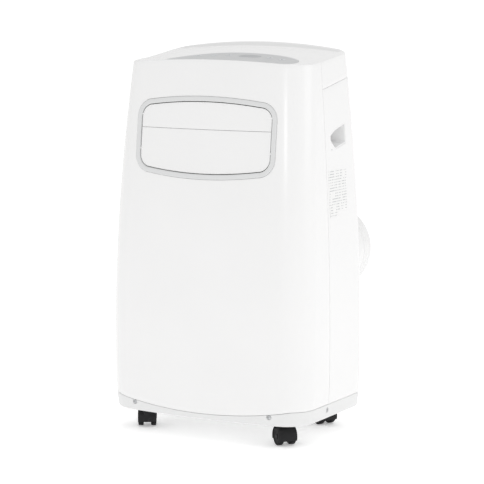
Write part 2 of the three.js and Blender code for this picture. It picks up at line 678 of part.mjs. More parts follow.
function flap({ low, high, y, z }) {
  const slice = block(-FAR, FAR, -FAR, 0, low, high);
  const plate = ventPrism(FLAP_INSET).intersect(slice)
    .intersect(bodyLoft(FLAP_RECESS)).subtract(bodyLoft(FLAP_RECESS + FLAP_THICKNESS));
  const pins = [-1, 1].map((side) => {
    const ends = [side * (FLAP_HALF_WIDTH - 12), side * (FLAP_HALF_WIDTH + PIN_REACH)];
    return rodX(FLAP_PIN, Math.min(...ends), Math.max(...ends), y, z, PIN_SIDES);
  });
  return joined([plate, ...pins]);
}

const vanes = Array.from({ length: VANE_COUNT }, (_, i) => {
  const x = (i - (VANE_COUNT - 1) / 2) * VANE_PITCH;
  const bow = ventBowAt(x, DUCT_INSET);
  return {
    name: `vane_${i + 1}`, x, low: VENT_BOTTOM + DUCT_INSET + bow, high: VENT_TOP - DUCT_INSET - bow,
  };
});

function airDuct() {
  const tube = ventPrism(DUCT_INSET - DUCT_WALL).subtract(ventPrism(DUCT_INSET));
  const start = bodyLoft(VENT_DEPTH + GAP);
  const stop = block(-FAR, FAR, -FAR, DUCT_END_Y, 0, 2 * FAR);
  const holes = vanes.map(({ x, low, high }) => rodZ(
    VANE_PIN + RUN, x, VANE_Y, low - DUCT_WALL * 2, high + DUCT_WALL * 2, PIN_SIDES));
  return tube.intersect(start).intersect(stop).subtract(joined(holes));
}

function vane({ x, low, high }) {
  const clear = 3;
  const blade = block(x - VANE_THICKNESS / 2, x + VANE_THICKNESS / 2,
    VANE_Y - VANE_FRONT, VANE_Y + VANE_BACK, low + clear, high - clear);
  const pins = [[low - DUCT_WALL + 0.4, low + clear + 2], [high - clear - 2, high + DUCT_WALL - 0.4]]
    .map(([from, to]) => rodZ(VANE_PIN, x, VANE_Y, from, to, PIN_SIDES));
  const pegY = VANE_Y + LINK_RADIUS;
  const armLow = LINK_HEIGHT + LINK_BAR / 2 + RUN;
  const arm = block(x - VANE_THICKNESS / 2, x + VANE_THICKNESS / 2,
    VANE_Y + VANE_BACK - 1, pegY + PEG_RADIUS, armLow, armLow + 5);
  const peg = rodZ(PEG_RADIUS, x, pegY, LINK_HEIGHT - LINK_BAR / 2 - 2, armLow + 3, PIN_SIDES);
  return joined([blade, ...pins, arm, peg]);
}

function vaneLink() {
  const end = vanes[VANE_COUNT - 1].x + 9;
  const pegY = VANE_Y + LINK_RADIUS;
  const bar = block(-end, end, pegY - LINK_DEPTH / 2 - 1, pegY + LINK_DEPTH / 2 - 1,
    LINK_HEIGHT - LINK_BAR / 2, LINK_HEIGHT + LINK_BAR / 2);
  const halfSlot = PEG_RADIUS + PEG_PLAY;
  const slots = vanes.map(({ x }) => block(x - halfSlot, x + halfSlot, pegY - 4.6, pegY + 2.4,
    LINK_HEIGHT - LINK_BAR, LINK_HEIGHT + LINK_BAR));
  return bar.subtract(joined(slots));
}

add('vent_frame', ventFrame(), TRIM);
flapPivots.forEach((pivot) => add(`flap_${pivot.name}`, flap(pivot), WHITE));
add('air_duct', airDuct(), 0x3a3c3e, 0.7);
vanes.forEach((blade) => add(blade.name, vane(blade), 0xd8dadb));
add('vane_link', vaneLink(), 0x55585a);

// ---------------------------------------------------------------- back fittings
function grille(intake) {
  const { left, right, bottom, top, columns } = intake;
  const plate = intakePrism(intake, 0).intersect(bodyLoft(-0.2)).subtract(bodyLoft(GRILLE_THICKNESS));
  const rows = Math.floor((top - bottom - 2 * INTAKE_MARGIN + SLOT_RIB) / (SLOT_HEIGHT + SLOT_RIB));
  const tall = rows * (SLOT_HEIGHT + SLOT_RIB) - SLOT_RIB;
  const lowest = (bottom + top - tall) / 2;
  const wide = (right - left - 2 * INTAKE_MARGIN - (columns - 1) * SLOT_RIB) / columns;
  const slots = [];
  for (let row = 0; row < rows; row += 1) {
    const z = lowest + row * (SLOT_HEIGHT + SLOT_RIB);
    for (let column = 0; column < columns; column += 1) {
      const x = left + INTAKE_MARGIN + column * (wide + SLOT_RIB);
      slots.push(block(x, x + wide, 0, FAR, z, z + SLOT_HEIGHT));
    }
  }
  return plate.subtract(joined(slots));
}

function exhaustCollar() {
  const end = BACK_Y + COLLAR_REACH;
  const inner = BACK_Y - SPIGOT_REACH - BACK_LEAN * leanShare(COLLAR_HEIGHT);
  const ring = rodY(COLLAR_RADIUS, COLLAR_X, BACK_Y - 40, end, COLLAR_HEIGHT, 28).subtract(bodyLoft(-GAP));
  const spigot = rodY(COLLAR_BORE + SPIGOT_WALL, COLLAR_X, inner, end, COLLAR_HEIGHT, 28);
  const bore = rodY(COLLAR_BORE, COLLAR_X, BACK_Y - FAR, end + 1, COLLAR_HEIGHT, 28);
  return ring.add(spigot).subtract(bore);
}

function backFitting(x, height, headRadius, plugRadius, reach, bore) {
  const back = BACK_Y - BACK_LEAN * leanShare(height) - tuckAt(height);
  const head = rodY(headRadius, x, back + GAP + 0.2, back + reach, height);
  const plug = rodY(plugRadius, x, back - WALL - 6, back + reach - 1, height);
  const whole = head.add(plug);
  return bore > 0 ? whole.subtract(rodY(bore, x, back - FAR, back + FAR, height, 12)) : whole;
}

function grip(side) {
  const outer = gripPrism(side, GRIP_WALL, GRIP_DEPTH);
  const inner = gripPrism(side, 0, GRIP_DEPTH - GRIP_WALL);
  return outer.intersect(bodyLoft(0.2)).subtract(inner);
}

add('intake_upper', grille(UPPER_INTAKE), TRIM);
add('intake_lower', grille(LOWER_INTAKE), TRIM);
add('exhaust_collar', exhaustCollar(), WHITE);
for (const { name, x, height } of DRAINS) {
  add(`drain_cap_${name}`, backFitting(x, height, DRAIN_RADIUS, DRAIN_PLUG, DRAIN_REACH, 0), GREY);
}
add('cord_gland', backFitting(GLAND_X, GLAND_HEIGHT, GLAND_RADIUS, GLAND_RADIUS - 2, 8, GLAND_BORE), BLACK);
add('grip_right', grip(1), WHITE);
add('grip_left', grip(-1), WHITE);

for (const place of screwPlaces()) {
  const head = rod(SCREW_HEAD, along(place, SCREW_SINK - 1), along(place, SCREW_SINK + 2.2 - GAP));
  const shank = rod(SCREW_SHANK, along(place, SCREW_SINK), along(place, SCREW_LENGTH), PIN_SIDES);
  const slot = rod(1.5, along(place, SCREW_SINK - 2), along(place, SCREW_SINK + 0.4), 4);
  add(`screw_${place.name}`, head.add(shank).subtract(slot), STEEL, 0.35, 0.9);
}

// ---------------------------------------------------------------- castors
// Stem axis on the origin, wheels trailing towards +Y, floor at zero
const hoodRadius = WHEEL_RADIUS + HOOD_CLEAR + HOOD_WALL;
const castorHalfWidth = WEB_WIDTH / 2 + WHEEL_WIDTH + RUN * 2;

function castorHousing() {
  const hood = rodX(hoodRadius, -castorHalfWidth, castorHalfWidth, TRAIL, WHEEL_RADIUS, WHEEL_SIDES)
    .intersect(block(-FAR, FAR, -FAR, FAR, HOOD_BOTTOM, FAR));
  const neck = rodZ(NECK_RADIUS, 0, 0, WHEEL_RADIUS, TRAY_UNDERSIDE - RUN);
  const stem = rodZ(STEM_RADIUS, 0, 0, WHEEL_RADIUS + 4, TRAY_UNDERSIDE + STEM_LENGTH, 16);
  const bays = [-1, 1].map((side) => {
    const ends = [(side * WEB_WIDTH) / 2, side * FAR];
    return rodX(WHEEL_RADIUS + HOOD_CLEAR, Math.min(...ends), Math.max(...ends),
      TRAIL, WHEEL_RADIUS, WHEEL_SIDES);
  });
  const pinHole = rodX(AXLE_RADIUS + GAP, -FAR, FAR, TRAIL, WHEEL_RADIUS, 10);
  return joined([hood, neck, stem]).subtract(joined([...bays, pinHole]));
}

function castorWheel(side) {
  const inner = (side * WEB_WIDTH) / 2 + side * RUN;
  const outer = inner + side * WHEEL_WIDTH;
  const [x0, x1] = [Math.min(inner, outer), Math.max(inner, outer)];
  const tyre = rodX(WHEEL_RADIUS, x0, x1, TRAIL, WHEEL_RADIUS, WHEEL_SIDES);
  return tyre.subtract(rodX(AXLE_RADIUS + RUN, -FAR, FAR, TRAIL, WHEEL_RADIUS, 10));
}

const castorPieces = [
  ['housing', castorHousing(), BLACK],
  ['axle', rodX(AXLE_RADIUS, -castorHalfWidth, castorHalfWidth, TRAIL, WHEEL_RADIUS, 10), STEEL],
  ['wheel_left', castorWheel(-1), BLACK],
  ['wheel_right', castorWheel(1), BLACK],
];
for (const { name, side, y, turn } of CASTORS) {
  for (const [piece, solid, color] of castorPieces) {
    const mesh = add(`castor_${name}_${piece}`, solid, color, 0.5, color === STEEL ? 0.9 : 0);
    mesh.position.set(side * CASTOR_X, y, 0);
    mesh.rotation.z = THREE.MathUtils.degToRad(turn);
  }
}

// ---------------------------------------------------------------- inside
function deck() {
  const plate = bodyLoft(WALL + DECK_CLEAR)
    .intersect(block(-FAR, FAR, -FAR, FAR, DECK_HEIGHT, DECK_HEIGHT + DECK_THICKNESS));
  const pipeHole = rodZ(PIPE_RADIUS + 4, COMPRESSOR_X, COMPRESSOR_Y, 0, FAR);
  return plate.subtract(pipeHole);
}

// A finned block between two end plates, with a row of tube ends on each
function coil({ left, right }, low, high, backY) {
  const front = backY - COIL_THICKNESS;
  const core = block(left + COIL_PLATE, right - COIL_PLATE, front, backY, low + 2, high - 2);
  const plates = [left, right - COIL_PLATE].map((x) => block(
    x, x + COIL_PLATE + 0.01, front - 2, backY + 2, low, high));
  const tubes = [];
  const rows = Math.max(2, Math.floor((high - low) / TUBE_PITCH));
  for (let row = 0; row < rows; row += 1) {
    const z = low + ((row + 0.5) * (high - low)) / rows;
    tubes.push(rodX(PIPE_RADIUS, left - 8, right + 8, (front + backY) / 2, z, 8));
  }
  return joined([core, ...plates, ...tubes]);
}

function compressor() {
  const top = INSIDE_FLOOR + COMPRESSOR_FEET + COMPRESSOR_TALL;
  const low = INSIDE_FLOOR + COMPRESSOR_FEET;
  const shoulder = COMPRESSOR_RADIUS * 0.3;
  const profile = [
    [0, low], [COMPRESSOR_RADIUS - shoulder, low], [COMPRESSOR_RADIUS, low + shoulder],
    [COMPRESSOR_RADIUS, top - shoulder], [COMPRESSOR_RADIUS - shoulder, top - shoulder * 0.3], [0, top],
  ].map(([r, z]) => new THREE.Vector2(r, z));
  const shell = toSolid(new THREE.LatheGeometry(profile, WHEEL_SIDES).rotateX(Math.PI / 2));
  const feet = [0, 1, 2].map((i) => {
    const angle = (2 * Math.PI * i) / 3;
    return rodZ(9, 52 * Math.cos(angle), 52 * Math.sin(angle), INSIDE_FLOOR + GAP, low + 6, 12);
  });
  return joined([shell, ...feet]).translate([COMPRESSOR_X, COMPRESSOR_Y, 0]);
}

function pipe() {
  const low = INSIDE_FLOOR + COMPRESSOR_FEET + COMPRESSOR_TALL + GAP;
  const coilY = BACK_Y - BACK_LEAN * leanShare(UPPER_INTAKE.bottom) - COIL_CLEAR - COIL_THICKNESS - 16;
  const path = new THREE.CatmullRomCurve3([
    at(COMPRESSOR_X, COMPRESSOR_Y, low), at(COMPRESSOR_X, COMPRESSOR_Y, low + 60),
    at(COMPRESSOR_X, COMPRESSOR_Y, DECK_HEIGHT + 20),
    at(COMPRESSOR_X - 6, COMPRESSOR_Y + 18, DECK_HEIGHT + 44), at(COMPRESSOR_X - 10, coilY, DECK_HEIGHT + 52),
  ]);
  const circle = new THREE.Shape().absarc(0, 0, PIPE_RADIUS, 0, 2 * Math.PI);
  return toSolid(new THREE.ExtrudeGeometry(circle, { steps: 12, extrudePath: path, curveSegments: 4 }));
}

// A wheel with a back plate at startY, blades and a front ring, open at its middle
function fanWheel({ x, height, radius, width, startY }) {
  const plate = rodY(radius, x, startY, startY + 2, height, WHEEL_SIDES);
  const hub = rodY(SHAFT_RADIUS + 6, x, startY, startY + width * 0.6, height);
  const rim = rodY(radius, x, startY + width - 2, startY + width, height, WHEEL_SIDES)
    .subtract(rodY(radius * 0.78, x, startY, startY + FAR, height, WHEEL_SIDES));
  const blades = Array.from({ length: BLADE_COUNT }, (_, i) => {
    const angle = (2 * Math.PI * i) / BLADE_COUNT;
    const blade = new THREE.BoxGeometry(radius * 0.2, width - 1, 1.8);
    blade.rotateY(-0.6).translate(radius * 0.87, startY + width / 2, 0);
    return toSolid(blade.rotateY(angle).translate(x, 0, height));
  });
  const shaftHole = rodY(SHAFT_RADIUS + GAP, x, startY - 1, startY + FAR, height, 12);
  return joined([plate, hub, rim, ...blades]).subtract(shaftHole);
}

// A motor ahead of the wheel with its shaft through the hub, on a foot that stands on footZ
function fanMotor({ x, height, radius, width, startY, motorRadius, motorLength }, footZ) {
  const back = startY - 3;
  const can = rodY(motorRadius, x, back - motorLength, back, height, 24);
  const shaft = rodY(SHAFT_RADIUS, x, back - 2, startY + width * 0.5, height, 12);
  const foot = block(x - 14, x + 14, back - motorLength + 4, back - 4, footZ, height - motorRadius + 6);
  return joined([can, shaft, foot]);
}

add('deck', deck(), 0x9fa3a6, 0.6);
const upperCoilY = planAt(UPPER_INTAKE.top, COIL_CLEAR).back;
const lowerCoilY = planAt(LOWER_INTAKE.top, COIL_CLEAR).back;
add('evaporator', coil({ left: -132, right: 132 }, DECK_HEIGHT + DECK_THICKNESS + 30 + GAP,
  UPPER_INTAKE.top, upperCoilY), STEEL, 0.4, 0.8);
add('condenser', coil({ left: -172, right: 20 }, INSIDE_FLOOR + GAP + 20,
  LOWER_INTAKE.top, lowerCoilY), STEEL, 0.4, 0.8);
add('compressor', compressor(), 0x2b2d30, 0.45);
add('suction_pipe', pipe(), COPPER, 0.3, 0.9);
add('room_fan', fanWheel(ROOM_FAN), 0x6a6d70);
add('room_fan_motor', fanMotor(ROOM_FAN, DECK_HEIGHT + DECK_THICKNESS + GAP), STEEL, 0.4, 0.7);
add('exhaust_fan', fanWheel(EXHAUST_FAN), 0x6a6d70);
add('exhaust_fan_motor', fanMotor(EXHAUST_FAN, INSIDE_FLOOR + GAP), STEEL, 0.4, 0.7);
add('control_box', block(
  -60, 60, FRONT_Y + 40, FRONT_Y + 76, INSIDE_FLOOR + GAP, DECK_HEIGHT - 60), 0xd5d7d8);

export default assembly;
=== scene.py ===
import json
import math

import bpy
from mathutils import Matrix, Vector


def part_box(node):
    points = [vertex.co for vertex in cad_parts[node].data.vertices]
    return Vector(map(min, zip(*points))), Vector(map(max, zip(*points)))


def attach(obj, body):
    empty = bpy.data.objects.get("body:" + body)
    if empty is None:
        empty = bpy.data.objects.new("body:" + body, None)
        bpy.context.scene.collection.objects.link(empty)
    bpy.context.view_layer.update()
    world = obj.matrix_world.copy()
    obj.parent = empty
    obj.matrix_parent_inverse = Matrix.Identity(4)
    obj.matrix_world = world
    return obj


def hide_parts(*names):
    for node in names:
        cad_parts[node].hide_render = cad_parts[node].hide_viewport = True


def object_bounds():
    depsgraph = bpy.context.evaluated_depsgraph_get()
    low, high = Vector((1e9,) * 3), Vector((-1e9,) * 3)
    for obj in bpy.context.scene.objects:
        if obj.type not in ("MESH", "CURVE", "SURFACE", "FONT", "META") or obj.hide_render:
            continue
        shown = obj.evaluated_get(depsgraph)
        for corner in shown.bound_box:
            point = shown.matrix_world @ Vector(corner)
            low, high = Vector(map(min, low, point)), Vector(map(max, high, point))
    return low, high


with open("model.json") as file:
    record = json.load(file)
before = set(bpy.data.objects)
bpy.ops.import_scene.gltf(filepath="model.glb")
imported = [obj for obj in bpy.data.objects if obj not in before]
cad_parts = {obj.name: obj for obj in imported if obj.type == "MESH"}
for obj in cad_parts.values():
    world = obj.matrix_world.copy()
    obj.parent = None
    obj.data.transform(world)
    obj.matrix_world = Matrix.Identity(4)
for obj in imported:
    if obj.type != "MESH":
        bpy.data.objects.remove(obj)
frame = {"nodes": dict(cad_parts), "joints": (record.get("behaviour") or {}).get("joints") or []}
cad_low, cad_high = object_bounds()

MM = 0.001

# ------------------------------------------------------------------ sizes shared with the frame
panel_low, panel_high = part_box("front_panel")
tray_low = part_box("base_tray")[0]
cover_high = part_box("rear_cover")[1]
vent_low, vent_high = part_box("vent_frame")
collar_low, collar_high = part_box("exhaust_collar")

BODY_TOP = cad_high.z
HALF_WIDTH = panel_high.x
FRONT = panel_low.y
BACK = cover_high.y
UNDERSIDE = tray_low.z
MIDDLE_Y = (FRONT + BACK) / 2

LEAN_START = 190 * MM
LEAN_POWER = 1.85
FRONT_LEAN = 45 * MM
BACK_LEAN = 30 * MM
SIDE_TAPER = 24 * MM
FRONT_BOW = 18 * MM
FRONT_RADIUS = 61 * MM
BACK_RADIUS = 30 * MM
TUCK = 6 * MM
TUCK_TOP = 125 * MM

FRONT_EDGE = 709 * MM
CROWN = 10 * MM
REAR_CROWN = 6 * MM
RIM_POWER = 1.5
DISH_SLOPE = 0.1
LIP_WIDTH = 27 * MM
LIP_ROUND = 3.0 * MM
RIM_RISE = BODY_TOP - FRONT_EDGE - CROWN - REAR_CROWN

WALL = 2.8 * MM
SHELL = 2.2 * MM
SEAM = 0.5 * MM
GAP = 0.3 * MM

SIDE_SEAM = -40 * MM
PARTING_HEIGHT = 664 * MM
PARTING_SLOPE = 0.17
SKIRT_MIDDLE = 52 * MM
SKIRT_SIDE = 69 * MM

VENT_HALF = vent_high.x
VENT_BOTTOM = vent_low.z
VENT_TOP = vent_high.z
VENT_RADIUS = 34 * MM
VENT_BOW = 8 * MM
VENT_BAND = 9.6 * MM
FLAP_GAP = 1.4 * MM
FLAP_PARTING = 589 * MM
SKIN_ROWS = 84
CASTOR_AXLE = Vector((0, 11 * MM, 17 * MM))  # from the swivel axis at the floor

TOP_FRONT = FRONT + FRONT_LEAN * 0.9
TOP_BACK = BACK - BACK_LEAN * 0.95
TOP_MIDDLE = (TOP_FRONT + TOP_BACK) / 2


# ------------------------------------------------------------------ body surface
def clamp(value):
    return min(1.0, max(0.0, value))


def soft_step(value):
    share = clamp(value)
    return share * share * (3 - 2 * share)


def lean_share(height):
    return max(0.0, (height - LEAN_START) / (BODY_TOP - LEAN_START)) ** LEAN_POWER


def tuck_at(height):
    return TUCK * clamp((TUCK_TOP - height) / (TUCK_TOP - UNDERSIDE)) ** 2


def plan_at(height, inset):
    """The plan's sizes at a height, drawn in by inset."""
    lean = lean_share(height)
    draw = inset + tuck_at(height)
    plan = {
        "full": HALF_WIDTH - SIDE_TAPER * lean,
        "half": HALF_WIDTH - SIDE_TAPER * lean - draw,
        "front": FRONT + FRONT_LEAN * lean + draw,
        "back": BACK - BACK_LEAN * lean - draw,
        "front_radius": max(FRONT_RADIUS - draw, 2 * MM),
        "back_radius": max(BACK_RADIUS - draw, 2 * MM),
    }
    arc_x = plan["half"] - plan["front_radius"]
    tilt, edge = 0.0, arc_x
    for _ in range(5):
        tilt = math.atan(2 * FRONT_BOW * edge / plan["full"] ** 2)
        edge = arc_x + plan["front_radius"] * math.sin(tilt)
    plan["arc_x"], plan["tilt"], plan["edge"] = arc_x, tilt, edge
    plan["arc_y"] = plan["front"] + FRONT_BOW * (edge / plan["full"]) ** 2
    plan["arc_y"] += plan["front_radius"] * math.cos(tilt)
    return plan


def face_y(x, height, inset=0.0):
    plan = plan_at(height, inset)
    return plan["front"] + FRONT_BOW * (x / plan["full"]) ** 2


def plan_point(station, height, inset):
    """(x, y) of a station round the body, at a height and an inset."""
    kind, side, share = station
    plan = plan_at(height, inset)
    if kind == "front":
        x = plan["edge"] * share
        return x, plan["front"] + FRONT_BOW * (x / plan["full"]) ** 2
    if kind == "corner":
        angle = -math.pi / 2 + plan["tilt"] + (math.pi / 2 - plan["tilt"]) * share
        x = plan["arc_x"] + plan["front_radius"] * math.cos(angle)
        return side * x, plan["arc_y"] + plan["front_radius"] * math.sin(angle)
    if kind == "side_front":
        return side * plan["half"], plan["arc_y"] + (SIDE_SEAM - SEAM / 2 - plan["arc_y"]) * share
    if kind == "side_back":
        start, end = SIDE_SEAM + SEAM / 2, plan["back"] - plan["back_radius"]
        return side * plan["half"], start + (end - start) * share
    if kind == "back_corner":
        angle = math.pi / 2 * share
        radius = plan["back_radius"]
        x = plan["half"] - radius + radius * math.cos(angle)
        return side * x, plan["back"] - radius + radius * math.sin(angle)
    return share * (plan["half"] - plan["back_radius"]), plan["back"]


def spread(count, first=True):
    return [i / count for i in range(0 if first else 1, count + 1)]


def front_stations():
    """Left side seam, round the front, to the right side seam."""
    right = [("corner", 1, s) for s in spread(20, False)] + [("side_front", 1, s) for s in spread(5, False)]
    left = [(kind, -1, share) for kind, _, share in reversed(right)]
    return left + [("front", 1, 2 * s - 1) for s in spread(60)] + right


def back_stations():
    """Right side seam, round the back, to the left side seam."""
    right = [("side_back", 1, s) for s in spread(16)] + [("back_corner", 1, s) for s in spread(12, False)]
    left = [(kind, -1, share) for kind, _, share in reversed(right)]
    return right + [("back", 1, 1 - 2 * s) for s in spread(56)[1:-1]] + left


FRONT_STATIONS = front_stations()
BACK_STATIONS = back_stations()
ALL_STATIONS = FRONT_STATIONS + BACK_STATIONS + FRONT_STATIONS[:1]
FRONT_SET = set(FRONT_STATIONS)


def skirt_line(x):
    share = min(1.0, abs(x) / (HALF_WIDTH - BACK_RADIUS))
    return SKIRT_MIDDLE + (SKIRT_SIDE - SKIRT_MIDDLE) * share**2


def parting_line(y):
    return PARTING_HEIGHT + PARTING_SLOPE * (y - SIDE_SEAM)


def edge_height(x):
    arch = clamp(1 - (x / (HALF_WIDTH - SIDE_TAPER)) ** 2)
    return FRONT_EDGE + CROWN * arch, arch


def rim_height(x, y):
    edge, arch = edge_height(x)
    back = clamp((y - TOP_FRONT) / (TOP_BACK - TOP_FRONT))
    return edge + (RIM_RISE + REAR_CROWN * arch) * back**RIM_POWER


def dish_height(x, y):
    """The floor of the dish, which leaves the rim smoothly."""
    edge, _ = edge_height(x)
    back = clamp((y - TOP_FRONT) / (TOP_BACK - TOP_FRONT))
    slope = edge + DISH_SLOPE * (TOP_BACK - TOP_FRONT) * back
    softness = 0.6 * MM
    lower = min(slope, rim_height(x, y))
    apart = abs(slope - rim_height(x, y)) / softness
    return lower - softness * math.log1p(math.exp(-apart)) * back


def top_height(x, y, inset):
    share = soft_step((inset - LIP_ROUND) / (LIP_WIDTH - LIP_ROUND))
    return rim_height(x, y) + (dish_height(x, y) - rim_height(x, y)) * share


def rim_point(station, inset):
    height = FRONT_EDGE
    for _ in range(3):
        x, y = plan_point(station, height, inset)
        height = rim_height(x, y)
    return x, y, height


# ------------------------------------------------------------------ modelling helpers
def clear_selection():
    if bpy.context.object and bpy.context.object.mode != "OBJECT":
        bpy.ops.object.mode_set(mode="OBJECT")
    bpy.ops.object.select_all(action="DESELECT")


def pick(*pieces):
    """Selects the pieces and makes the first one active."""
    clear_selection()
    for piece in pieces:
        piece.select_set(True)
    bpy.context.view_layer.objects.active = pieces[0]


def named(name):
    piece = bpy.context.object
    piece.name = name
    piece.data.name = name
    return piece


def edit(piece, *steps):
    """Runs edit-mode steps on the whole of a piece."""
    pick(piece)
    bpy.ops.object.mode_set(mode="EDIT")
    bpy.ops.mesh.select_all(action="SELECT")
    for step in steps:
        step()
    bpy.ops.object.mode_set(mode="OBJECT")
    return piece


def weld(piece, distance=1e-6):
    return edit(piece, lambda: bpy.ops.mesh.remove_doubles(threshold=distance))


def face_out(piece):
    return edit(piece, lambda: bpy.ops.mesh.normals_make_consistent(inside=False))


def wrap(name, columns, rows, place):
    """A grid laid over a surface: place(u, v) gives each of its points."""
    clear_selection()
    bpy.ops.mesh.primitive_grid_add(x_subdivisions=columns, y_subdivisions=rows, size=2)
    piece = named(name)
    for vertex in piece.data.vertices:
        vertex.co = place((vertex.co.x + 1) / 2, (vertex.co.y + 1) / 2)
    return weld(piece)


def wrap_stations(name, stations, rows, place):
    last = len(stations) - 1
    return wrap(name, last, rows, lambda u, v: place(stations[round(u * last)], v))


def turned(name, profile, centre, axis="Z", sides=64, closed=True):
    """A round piece: profile gives (radius, distance along the axis), from the near end to the far one."""
    points = profile + profile[:1] if closed else profile
    last = len(points) - 1

    def place(u, v):
        radius, along = points[round(v * last)]
        angle = 2 * math.pi * u
        across, up = radius * math.cos(angle), radius * math.sin(angle)
        if axis == "X":
            return centre + Vector((along, across, up))
        if axis == "Y":
            return centre + Vector((up, along, across))
        return centre + Vector((across, up, along))

    return face_out(wrap(name, sides, last, place))


def prism(name, outline, axis, start, end):
    """A flat outline pushed along an axis from start to end."""
    clear_selection()
    bpy.ops.mesh.primitive_circle_add(vertices=len(outline), radius=1, fill_type="NGON")
    piece = named(name)
    for vertex, (a, b) in zip(piece.data.vertices, outline):
        if axis == "X":
            vertex.co = (start, a, b)
        elif axis == "Y":
            vertex.co = (a, start, b)
        else:
            vertex.co = (a, b, start)
    move = Vector({"X": (1, 0, 0), "Y": (0, 1, 0), "Z": (0, 0, 1)}[axis]) * (end - start)
    edit(piece, lambda: bpy.ops.mesh.extrude_region_move(TRANSFORM_OT_translate={"value": move}))
    return face_out(piece)


def block(name, low, high):
    clear_selection()
    low, high = Vector(low), Vector(high)
    bpy.ops.mesh.primitive_cube_add(size=1, location=(low + high) / 2, scale=high - low)
    piece = named(name)
    bpy.ops.object.transform_apply(location=True, rotation=True, scale=True)
    return piece


def apply(piece):
    pick(piece)
    for modifier in list(piece.modifiers):
        bpy.ops.object.modifier_apply(modifier=modifier.name)
    return piece


def thicken(piece, thickness, offset=-1.0):
    modifier = piece.modifiers.new("wall", "SOLIDIFY")
    modifier.thickness = thickness
    modifier.offset = offset
    modifier.use_even_offset = True
    return apply(piece)


def round_edges(piece, width, segments=3, angle=40):
    modifier = piece.modifiers.new("round", "BEVEL")
    modifier.width = width
    modifier.segments = segments
    modifier.limit_method = "ANGLE"
    modifier.angle_limit = math.radians(angle)
    modifier.use_clamp_overlap = True
    modifier.harden_normals = False
    return apply(piece)


def combine(piece, others, operation):
    for other in others:
        modifier = piece.modifiers.new("join", "BOOLEAN")
        modifier.object = other
        modifier.operation = operation
        modifier.solver = "EXACT"
        apply(piece)
        bpy.data.objects.remove(other, do_unlink=True)
    return piece


def cut(piece, *others):
    return combine(piece, others, "DIFFERENCE")


def fuse(piece, *others):
    return combine(piece, others, "UNION")


def join(name, pieces):
    pick(*pieces)
    bpy.ops.object.join()
    return named(name)


def smooth(piece, angle=32):
    pick(piece)
    bpy.ops.object.shade_smooth_by_angle(angle=math.radians(angle))
    return piece


def copy_of(node, name):
    """A welded copy of a frame node, to be rounded off."""
    source = frame["nodes"][node]
    piece = bpy.data.objects.new(name, source.data.copy())
    bpy.context.scene.collection.objects.link(piece)
    piece.hide_render = False
    piece.data.materials.clear()
    return weld(piece, 1e-5)


def finished(piece, material, body, slot, nodes=(), angle=32):
    smooth(piece, angle)
    piece.data.materials.clear()
    piece.data.materials.append(material)
    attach(piece, body)
    if nodes:
        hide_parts(*nodes)
    return piece


# ------------------------------------------------------------------ materials
def new_material(name):
    material = bpy.data.materials.new(name)
    material.use_nodes = True
    nodes, links = material.node_tree.nodes, material.node_tree.links
    shader = nodes["Principled BSDF"]
    place = nodes.new("ShaderNodeTexCoord")
    return material, nodes, links, shader, place


def noise(nodes, links, place, scale, detail=2.0):
    texture = nodes.new("ShaderNodeTexNoise")
    texture.inputs["Scale"].default_value = scale
    texture.inputs["Detail"].default_value = detail
    links.new(place.outputs["Object"], texture.inputs["Vector"])
    return texture


def ranged(nodes, links, source, low, high, from_low=0.3, from_high=0.7):
    spread_node = nodes.new("ShaderNodeMapRange")
    spread_node.inputs["From Min"].default_value = from_low
    spread_node.inputs["From Max"].default_value = from_high
    spread_node.inputs["To Min"].default_value = low
    spread_node.inputs["To Max"].default_value = high
    links.new(source, spread_node.inputs["Value"])
    return spread_node.outputs["Result"]


def bumped(nodes, links, shader, height, strength, distance):
    bump = nodes.new("ShaderNodeBump")
    bump.inputs["Strength"].default_value = strength
    bump.inputs["Distance"].default_value = distance
    links.new(height, bump.inputs["Height"])
    links.new(bump.outputs["Normal"], shader.inputs["Normal"])


def two_tone(nodes, links, shader, share, first, second):
    mix = nodes.new("ShaderNodeMix")
    mix.data_type = "RGBA"
    mix.inputs["A"].default_value = (*first, 1)
    mix.inputs["B"].default_value = (*second, 1)
    links.new(share, mix.inputs["Factor"])
    links.new(mix.outputs["Result"], shader.inputs["Base Color"])


def moulded(name, color, roughness, grain=1400, depth=0.06, tint=0.985, coat=0.0, shine=0.5):
    """Injection-moulded plastic: slight shade and gloss changes and a fine skin."""
    material, nodes, links, shader, place = new_material(name)
    broad = noise(nodes, links, place, 7, 3)
    two_tone(nodes, links, shader, ranged(nodes, links, broad.outputs["Fac"], 0, 1),
             color, tuple(c * tint for c in color))
    gloss = noise(nodes, links, place, 38, 4)
    links.new(ranged(nodes, links, gloss.outputs["Fac"], roughness * 0.9, roughness * 1.12),
              shader.inputs["Roughness"])
    skin = noise(nodes, links, place, grain, 2)
    bumped(nodes, links, shader, skin.outputs["Fac"], depth, 0.1 * MM)
    shader.inputs["Coat Weight"].default_value = coat
    shader.inputs["Coat Roughness"].default_value = 0.12
    shader.inputs["Specular IOR Level"].default_value = shine
    return material


def metal(name, color, roughness, stretch=(1, 1, 30), depth=0.1):
    """Metal with fine marks drawn along one direction."""
    material, nodes, links, shader, place = new_material(name)
    mapping = nodes.new("ShaderNodeMapping")
    mapping.inputs["Scale"].default_value = stretch
    links.new(place.outputs["Object"], mapping.inputs["Vector"])
    marks = nodes.new("ShaderNodeTexNoise")
    marks.inputs["Scale"].default_value = 160
    marks.inputs["Detail"].default_value = 6
    links.new(mapping.outputs["Vector"], marks.inputs["Vector"])
    links.new(ranged(nodes, links, marks.outputs["Fac"], roughness * 0.75, roughness * 1.3),
              shader.inputs["Roughness"])
    two_tone(nodes, links, shader, marks.outputs["Fac"], color, tuple(c * 0.86 for c in color))
    bumped(nodes, links, shader, marks.outputs["Fac"], depth, 0.05 * MM)
    shader.inputs["Metallic"].default_value = 1.0
    return material


